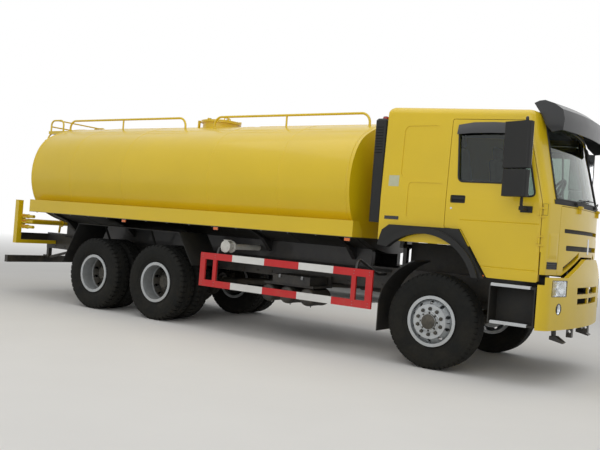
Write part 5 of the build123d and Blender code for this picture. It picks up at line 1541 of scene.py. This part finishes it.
@dataclass
class SideFittings:
    """Bolts, tread edges, small lamps and straps along the sides.

    Attributes:
        half_width_mm: Half width of the side guards.
        step_mm: Middle of the steps along the truck.
    """

    half_width_mm: float = 1250.0
    step_mm: float = 925.0

    def build(self) -> None:
        """Build the fittings of the sides."""
        self.guard_bolts()
        self.tread_edges()
        self.arch_lamps()
        self.tower_lamp()
        self.tank_straps()
        self.battery_box()

    def guard_bolts(self) -> None:
        """Domed bolts where the guards' uprights cross the rails."""
        shape = Shape("guard_bolts").paint(Paint.ZINC)
        for side in SIDES.values():
            for station in (-3407, -3190, -990, -778):
                for height in (628, 662, 1003, 1037):
                    foot = spot(station, side * (self.half_width_mm - 8), height)
                    shape.nut(foot, Vector((0, side, 0)), 15, 6)
        shape.piece("chassis")

    def tread_edges(self) -> None:
        """Ribbed aluminium strips along the outer edges of both treads."""
        shape = Shape("tread_edges").paint(Paint.ALUMINIUM)
        for side in SIDES.values():
            for height, length in ((1062, 430), (657, 400)):
                shape.box(spot(self.step_mm - 20, side * 1180, height + 2.5), (length, 44, 5))
                shape.box(spot(self.step_mm - 20, side * 1202.5, height - 10), (length, 4, 30))
                for i in range(4):
                    shape.box(spot(self.step_mm - 20, side * (1166 + i * 10), height + 6), (length, 3, 3))
        shape.piece("chassis", bevel_mm=1)

    def arch_lamps(self) -> None:
        """Small amber lamps at the front ends of the wheel arches."""
        shape = Shape("arch_lamps").paint(Paint.PLASTIC)
        for side in SIDES.values():
            shape.box(spot(536, side * 1147, 1122), (112, 10, 44), (0, 0, 0))
        shape.paint(Paint.AMBER_LENS)
        for side in SIDES.values():
            shape.box(spot(536, side * 1154, 1122), (98, 12, 34))
        shape.piece("cab", bevel_mm=3)

    def tower_lamp(self) -> None:
        """Small red cover over the lamp on the intake tower."""
        shape = Shape("tower_lamp").paint(Paint.RED_LENS)
        dome = [(0, 0), (0, 38), (24, 37), (36, 30), (42, 16), (43, 0)]
        shape.turned(spot(-845, -1010, 2905), Vector((0, 0, 1)), dome, sides=28)
        shape.piece("cab")

    def tank_straps(self) -> None:
        """Straps over the fuel tank with their tension bolts, and its filler cap."""
        shape = Shape("fuel_tank_straps").paint(Paint.CHASSIS)
        for station in (-2500, -1700):
            outline = loop_of(((480, 495), (1090, 495), (1090, 1065), (480, 1065)), 124, 8)
            run = [spot(station, y, z) for y, z in outline]
            for offset in (-16, -8, 0, 8, 16):
                shape.hoop([p + Vector((offset / 1000, 0, 0)) for p in run], 5, sides=6)
        shape.paint(Paint.GLOSS_BLACK)
        cap = [(0, 56), (18, 56), (24, 50), (26, 0)]
        shape.turned(spot(-1620, 845, 1108), Vector((0, 0, 1)), cap)
        shape.piece("chassis")

    def battery_box(self) -> None:
        """Ribbed cover and latches of the battery box, and the drain cocks of the reservoirs."""
        shape = Shape("battery_box_cover").paint(Paint.PLASTIC)
        for i in range(7):
            shape.box(spot(-2390 + i * 90, -720, 865), (40, 400, 6))
        shape.paint(Paint.ZINC)
        for station in (-2300, -1940):
            shape.box(spot(station, -942, 845), (30, 6, 46))
            shape.rod([spot(station - 18, -946, 838), spot(station + 18, -946, 838)], 4, sides=8)
        for station in (-2497, -2193, -1864):
            cock = [(0, 12), (10, 12), (12, 7), (26, 6), (28, 0)]
            shape.turned(spot(station, -800, 487), Vector((0, 0, -1)), cock, sides=12)
            plug = [(0, 22), (6, 22), (8, 14), (18, 12), (20, 0)]
            shape.turned(spot(station, -938, 603), Vector((0, -1, 0)), plug, sides=16)
        shape.piece("chassis", bevel_mm=1)


@dataclass
class Underframe:
    """Bolts, brake chambers, hoses and pipes of the frame and axles.

    Attributes:
        rail_mm: Outer faces of the frame rails across the truck.
        chamber_radius_mm: Radius of a brake chamber.
    """

    rail_mm: float = 425.0
    chamber_radius_mm: float = 82.0

    def build(self) -> None:
        """Build what hangs on the frame and axles."""
        self.frame_bolts()
        self.brake_chambers()
        self.air_lines()

    def frame_bolts(self) -> None:
        """Bolts along the webs of both rails."""
        shape = Shape("frame_bolts").paint(Paint.CHASSIS)
        for side in SIDES.values():
            for i in range(34):
                for height in (850, 1030):
                    shape.nut(spot(-7650 + i * 255, side * self.rail_mm, height), Vector((0, side, 0)), 20, 9)
        shape.piece("chassis")

    def chamber(self, shape: Shape, station: float, y: float, height: float, way: Vector) -> None:
        """Add a brake chamber with its clamp ring and push rod."""
        rod = [(-70, 0), (-70, 9), (0, 9)]
        can = (
            (0, 0.6), (6, 0.82), (34, 0.95), (38, 1.06), (48, 1.06), (52, 0.95), (96, 0.9),
            (104, 1.0), (112, 1.0), (118, 0.9), (168, 0.84), (184, 0.5), (188, 0.0),
        )
        profile = rod + [(along, self.chamber_radius_mm * share) for along, share in can]
        shape.turned(spot(station, y, height), way, profile)

    def brake_chambers(self) -> None:
        """Two chambers on each rear axle."""
        shape = Shape("brake_chambers").paint(Paint.CHASSIS)
        for station in REAR_AXLES_MM.values():
            for side in SIDES.values():
                self.chamber(shape, station - 130, side * 330, 640, Vector((-1, 0, 0.5)))
                shape.box(spot(station - 90, side * 330, 600), (130, 16, 60), (0, 25, 0))
        shape.piece("chassis")

    def air_lines(self) -> None:
        """Nylon air lines clipped along the rails, with branches to the axles."""
        shape = Shape("air_lines").paint(Paint.SEAL)
        for side in SIDES.values():
            for k in range(3):
                height = 1052 - 14 * k
                run = [spot(-7500 + 120 * k, side * 433, height), spot(-900, side * 433, height)]
                shape.rod(run, 6, sides=8)
            for station in REAR_AXLES_MM.values():
                branch = ((-260, 415, 1024), (-300, 415, 860), (-330, 370, 800), (-262, 330, 745))
                shape.rod(bent([spot(station + x, side * y, z) for x, y, z in branch], 60), 9, sides=8)
        shape.piece("chassis")


# Cab interior


@dataclass
class Cushion:
    """One upholstered pad, crowned, with sewn channels.

    Attributes:
        name: Its name.
        middle_mm: Its middle from the front axle.
        size_mm: Its sides.
        tilt_deg: Its lean to the rear.
        crown_mm: How far its faces swell.
        channels: Places of its sewn channels across it, from -1 to 1.
        thin: Which of its sides is its thickness.
        round_mm: Radius of its rounded edges.
    """

    name: str
    middle_mm: Point
    size_mm: Point
    tilt_deg: float = 0.0
    crown_mm: float = 14.0
    channels: tuple[float, ...] = (-0.55, 0.55)
    thin: int = 2
    round_mm: float = 38.0

    def build(self) -> None:
        """Build the pad on the cab."""
        shape = Shape(self.name).paint(Paint.CLOTH)
        bmesh.ops.create_cube(shape.mesh, size=2.0)
        bmesh.ops.subdivide_edges(shape.mesh, edges=shape.mesh.edges[:], cuts=22, use_grid_fill=True)
        lean = Matrix.Rotation(math.radians(self.tilt_deg), 3, "Y")
        half = [s / 2 for s in self.size_mm]
        skin = [h - 6 for h in half]
        flat = [s - self.round_mm for s in skin]
        others = [i for i in range(3) if i != self.thin]
        for vertex in shape.mesh.verts:
            share = vertex.co.copy()
            p = Vector([share[i] * skin[i] for i in range(3)])
            core = Vector([max(-flat[i], min(flat[i], p[i])) for i in range(3)])
            rest = p - core
            if rest.length > 0.01:
                p = core + rest.normalized() * self.round_mm
            u, v = share[others[0]], share[others[1]]
            swell = self.crown_mm * (1 - u * u) * (1 - v * v)
            for place in self.channels:
                swell -= 9 * math.exp(-(((v - place) * half[others[1]]) / 14) ** 2)
            swell -= 6 * math.exp(-(((u - 0.2) * half[others[0]]) / 12) ** 2)
            p[self.thin] += swell * share[self.thin]
            vertex.co = spot(*self.middle_mm) + lean @ p / 1000
        shape.mark(shape.mesh.faces)
        item = shape.piece("cab", replaces=("seats",), crease_deg=70)


@dataclass
class CabInterior:
    """Seats, bunk, linings and dashboard details.

    Attributes:
        floor_mm: Height of the cab's floor.
        seat_y_mm: Middle of each seat across the truck.
    """

    floor_mm: float = 1490.0
    seat_y_mm: float = 700.0

    def build(self) -> None:
        """Build the inside of the cab."""
        for side_name, side in SIDES.items():
            y = side * self.seat_y_mm
            Cushion(f"seat_cushion_{side_name}", (350, y, 1860), (510, 490, 130)).build()
            Cushion(
                f"seat_back_{side_name}", (60, y, 2250), (122, 490, 740), -10, thin=0, channels=(-0.5, 0.5)
            ).build()
            Cushion(
                f"head_rest_{side_name}", (5, y, 2700), (92, 290, 190), -10, 8, (), thin=0, round_mm=34
            ).build()
        Cushion(
            "bunk_mattress", (-460, 0, 1850), (480, 1960, 150), crown_mm=18, channels=(-0.5, 0.0, 0.5)
        ).build()
        self.frames()
        self.linings()
        self.door_trims()
        self.dash_details()

    def frames(self) -> None:
        """Seat boxes with bellows, and the bunk's base."""
        shape = Shape("seat_frames").paint(Paint.SEAL)
        for side in SIDES.values():
            for i in range(6):
                width = 360 if i % 2 else 330
                shape.box(spot(330, side * self.seat_y_mm, self.floor_mm + 50 + 40 * i), (width, width, 41))
        shape.paint(Paint.TRIM)
        for side in SIDES.values():
            shape.box(spot(335, side * self.seat_y_mm, self.floor_mm + 15), (380, 380, 28))
            shape.box(spot(345, side * self.seat_y_mm, self.floor_mm + 285), (460, 440, 34))
            shape.box(spot(90, side * (self.seat_y_mm - 255), 1930), (90, 18, 120), (0, -10, 0))
            for offset in (-70, 70):
                y = side * self.seat_y_mm + offset
                shape.rod([spot(26, y, 2580), spot(10, y, 2660)], 7, sides=10)
        for side in SIDES.values():
            shape.box(spot(-455, side * 740, self.floor_mm + 140), (470, 560, 276))
        shape.box(spot(-455, 0, self.floor_mm + 274), (474, 1960, 12))
        shape.piece("cab", bevel_mm=6, replaces=("seats",))

    def linings(self) -> None:
        """Rear wall, headliner and floor mats."""
        shape = Shape("cab_linings").paint(Paint.TRIM)
        wall = ((-1088, 1500), (1088, 1500), (1088, 1967), (1042, 2890), (-1042, 2890), (-1088, 1967))
        shape.slab([spot(-706, y, z) for y, z in wall], Vector((0.006, 0, 0)))
        roof = ((-690, -1030), (940, -960), (940, 960), (-690, 1030))
        shape.slab([spot(x, y, 2995 - (x + 690) * 0.0419) for x, y in roof], Vector((0, 0, -0.008)))
        shape.paint(Paint.SEAL)
        for side in SIDES.values():
            shape.box(spot(420, side * 765, self.floor_mm + 3), (1260, 620, 6))
        shape.box(spot(400, 0, 1534), (1300, 850, 8))
        shape.piece("cab", bevel_mm=3)

    def door_trims(self) -> None:
        """Inner panels of the doors with armrest, pull and pocket."""
        outline = (
            (120, 1640), (330, 1640), (640, 1160), (1120, 1160), (1110, 1960),
            (800, 1985), (755, 2120), (215, 2125), (120, 2140),
        )
        for side_name, side in SIDES.items():
            shape = Shape(f"door_trim_{side_name}").paint(Paint.TRIM)
            shape.slab([SKIN.flank(side, x, z, -54) for x, z in outline], Vector((0, -side * 0.008, 0)))
            shape.paint(Paint.PLASTIC)
            shape.box(spot(460, side * 1060, 1960), (420, 60, 50))
            shape.box(spot(720, side * 1070, 1330), (520, 36, 150))
            pull = [spot(x, side * y, 2040) for x, y in ((560, 1080), (560, 1050), (720, 1050), (720, 1080))]
            shape.rod(bent(pull, 20), 9, sides=8)
            shape.piece(f"door_{side_name}", bevel_mm=5)

    def dash_details(self) -> None:
        """Instrument hood, dials, vents and switches on the dashboard, and the gear lever."""
        shape = Shape("dash_details").paint(Paint.PLASTIC)
        shape.box(spot(1075, 700, 1992), (150, 420, 50), (0, -12, 0))
        for y in (-820, -300, 250):
            for k in range(5):
                shape.box(spot(1024, y, 1868 + 16 * k), (14, 170, 6), (0, 20, 0))
        shape.rod(bent([spot(700, 250, 1540), spot(690, 250, 1780), spot(650, 250, 1900)], 60), 11, sides=10)
        knob = [(0, 12), (14, 24), (34, 26), (48, 16), (52, 0)]
        shape.turned(spot(650, 250, 1890), Vector((0, 0, 1)), knob, sides=20)
        shape.paint(Paint.GLOSS_BLACK)
        for y in (600, 700, 800):
            dial = [(0, 0), (0, 42), (4, 42), (5, 38), (2, 36), (2, 0)]
            shape.turned(spot(1001, y, 1962), Vector((-1, 0, 0.3)), dial, sides=28)
        shape.piece("cab", bevel_mm=2)


# Studio


@dataclass
class Studio:
    """Floor, soft light and the camera of the photograph.

    Attributes:
        eye_mm: Place of the camera, from the front axle.
        yaw_deg: Its turn to the truck's rear.
        pitch_deg: Its rise.
        roll_deg: Its roll.
        lens_px: Focal length in pixels of the photograph.
        picture_px: Width of the photograph.
        sensor_mm: Width of the camera's sensor.
        floor_reach_m: Half the side of the floor.
        fade_m: Distances from the truck at which the floor starts and ends to fade.
    """

    eye_mm: Point = (3411.0, -9036.0, 1484.0)
    yaw_deg: float = -33.94
    pitch_deg: float = 0.34
    roll_deg: float = 4.43
    lens_px: float = 737.6
    picture_px: float = 600.0
    sensor_mm: float = 36.0
    floor_reach_m: float = 160.0
    fade_m: Pair = (9.0, 34.0)

    def build(self) -> None:
        """Build camera, floor, world and lamps."""
        self.camera()
        self.floor()
        self.world()
        self.lamps()

    def camera(self) -> None:
        """Camera solved from the photograph."""
        yaw, pitch, roll = (math.radians(a) for a in (self.yaw_deg, self.pitch_deg, self.roll_deg))
        ahead = Vector((math.sin(yaw) * math.cos(pitch), math.cos(yaw) * math.cos(pitch), math.sin(pitch)))
        right = Vector((math.cos(yaw), -math.sin(yaw), 0))
        up = right.cross(ahead)
        right_rolled = right * math.cos(roll) + up * math.sin(roll)
        up_rolled = up * math.cos(roll) - right * math.sin(roll)
        turned = Matrix((right_rolled, up_rolled, -ahead)).transposed().to_4x4()
        data = bpy.data.cameras.new("view")
        data.sensor_fit = "HORIZONTAL"
        data.sensor_width = self.sensor_mm
        data.lens = self.lens_px / self.picture_px * self.sensor_mm
        data.clip_end = 400
        eye = bpy.data.objects.new("view", data)
        eye.matrix_world = Matrix.Translation(spot(*self.eye_mm)) @ turned
        bpy.context.scene.collection.objects.link(eye)
        bpy.context.scene.camera = eye

    def floor(self) -> None:
        """Pale concrete floor that fades to white far away."""
        material = bpy.data.materials.new("pale-floor")
        material.use_nodes = True
        tree = material.node_tree
        shader = tree.nodes["Principled BSDF"]
        shader.inputs["Roughness"].default_value = 0.9
        place = add_node(tree, "ShaderNodeTexCoord").outputs["Object"]
        tone = blend(tree, noise(tree, place, 0.8, 6.0), linear("#e2e0dc"), linear("#eae8e4"))
        tree.links.new(tone, shader.inputs["Base Color"])
        white = add_node(tree, "ShaderNodeEmission", {"Color": (1, 1, 1, 1), "Strength": 1.0})
        away = add_node(tree, "ShaderNodeVectorMath", {"operation": "LENGTH"}, {0: place})
        fade = ramp(tree, away.outputs["Value"], *self.fade_m)
        inputs = {0: fade, 1: shader.outputs[0], 2: white.outputs[0]}
        mixed = add_node(tree, "ShaderNodeMixShader", None, inputs)
        tree.links.new(mixed.outputs[0], tree.nodes["Material Output"].inputs["Surface"])
        data = bpy.data.meshes.new("studio_floor")
        reach = self.floor_reach_m
        corners = [(-reach, -reach, 0), (reach, -reach, 0), (reach, reach, 0), (-reach, reach, 0)]
        data.from_pydata(corners, [], [(0, 1, 2, 3)])
        data.materials.append(material)
        plane = bpy.data.objects.new("studio_floor", data)
        bpy.context.scene.collection.objects.link(plane)

    def world(self) -> None:
        """Soft grey surround that shows white to the eye and in reflections."""
        world = bpy.data.worlds.new("surround")
        bpy.context.scene.world = world
        world.use_nodes = True
        tree = world.node_tree
        tree.nodes.clear()
        rays = add_node(tree, "ShaderNodeLightPath")
        seen = combined(tree, "MAXIMUM", rays.outputs["Is Camera Ray"], rays.outputs["Is Transmission Ray"])
        seen = combined(tree, "MAXIMUM", seen, rays.outputs["Is Glossy Ray"])
        soft = add_node(tree, "ShaderNodeBackground", {"Color": linear("#f2f4f6"), "Strength": 0.46})
        white = add_node(tree, "ShaderNodeBackground", {"Color": (1, 1, 1, 1), "Strength": 1.0})
        inputs = {0: seen, 1: soft.outputs[0], 2: white.outputs[0]}
        mixed = add_node(tree, "ShaderNodeMixShader", None, inputs)
        add_node(tree, "ShaderNodeOutputWorld", None, {"Surface": mixed.outputs[0]})

    def lamps(self) -> None:
        """A wide overhead panel and a fill from the camera's side."""
        for name, place, size, power in (
            ("overhead", (-1000, -1500, 9500), (16, 9), 450.0),
            ("side_fill", (2500, -13000, 6500), (12, 7), 370.0),
        ):
            data = bpy.data.lights.new(name, "AREA")
            data.shape = "RECTANGLE"
            data.size, data.size_y = size
            data.energy = power
            lamp = bpy.data.objects.new(name, data)
            lamp.location = spot(*place)
            aim = spot(-1800, 0, 1300) - lamp.location
            lamp.rotation_euler = aim.to_track_quat("-Z", "Y").to_euler()
            bpy.context.scene.collection.objects.link(lamp)


def dress_nodes() -> None:
    """Give every CAD node its finish."""
    for paint, nodes in NODE_PAINT.items():
        material = paint.value.made()
        for name in nodes:
            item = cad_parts[name]
            if not item.data.materials:
                item.data.materials.append(material)
            for slot in item.material_slots:
                slot.material = material
            log.info("%s dressed as %s", name, paint.value.name)


def main() -> None:
    """Dress the frame and build every added piece."""
    scene = bpy.context.scene
    scene.view_settings.view_transform = "Standard"
    dress_nodes()
    for part in (
        WheelSet(), CabTrim(), CabInterior(), FrontLamps(), FrontTrim(),
        TankFittings(), RearEnd(), SideFittings(), Underframe(), Studio(),
    ):
        part.build()


if __name__ == "__main__":
    main()
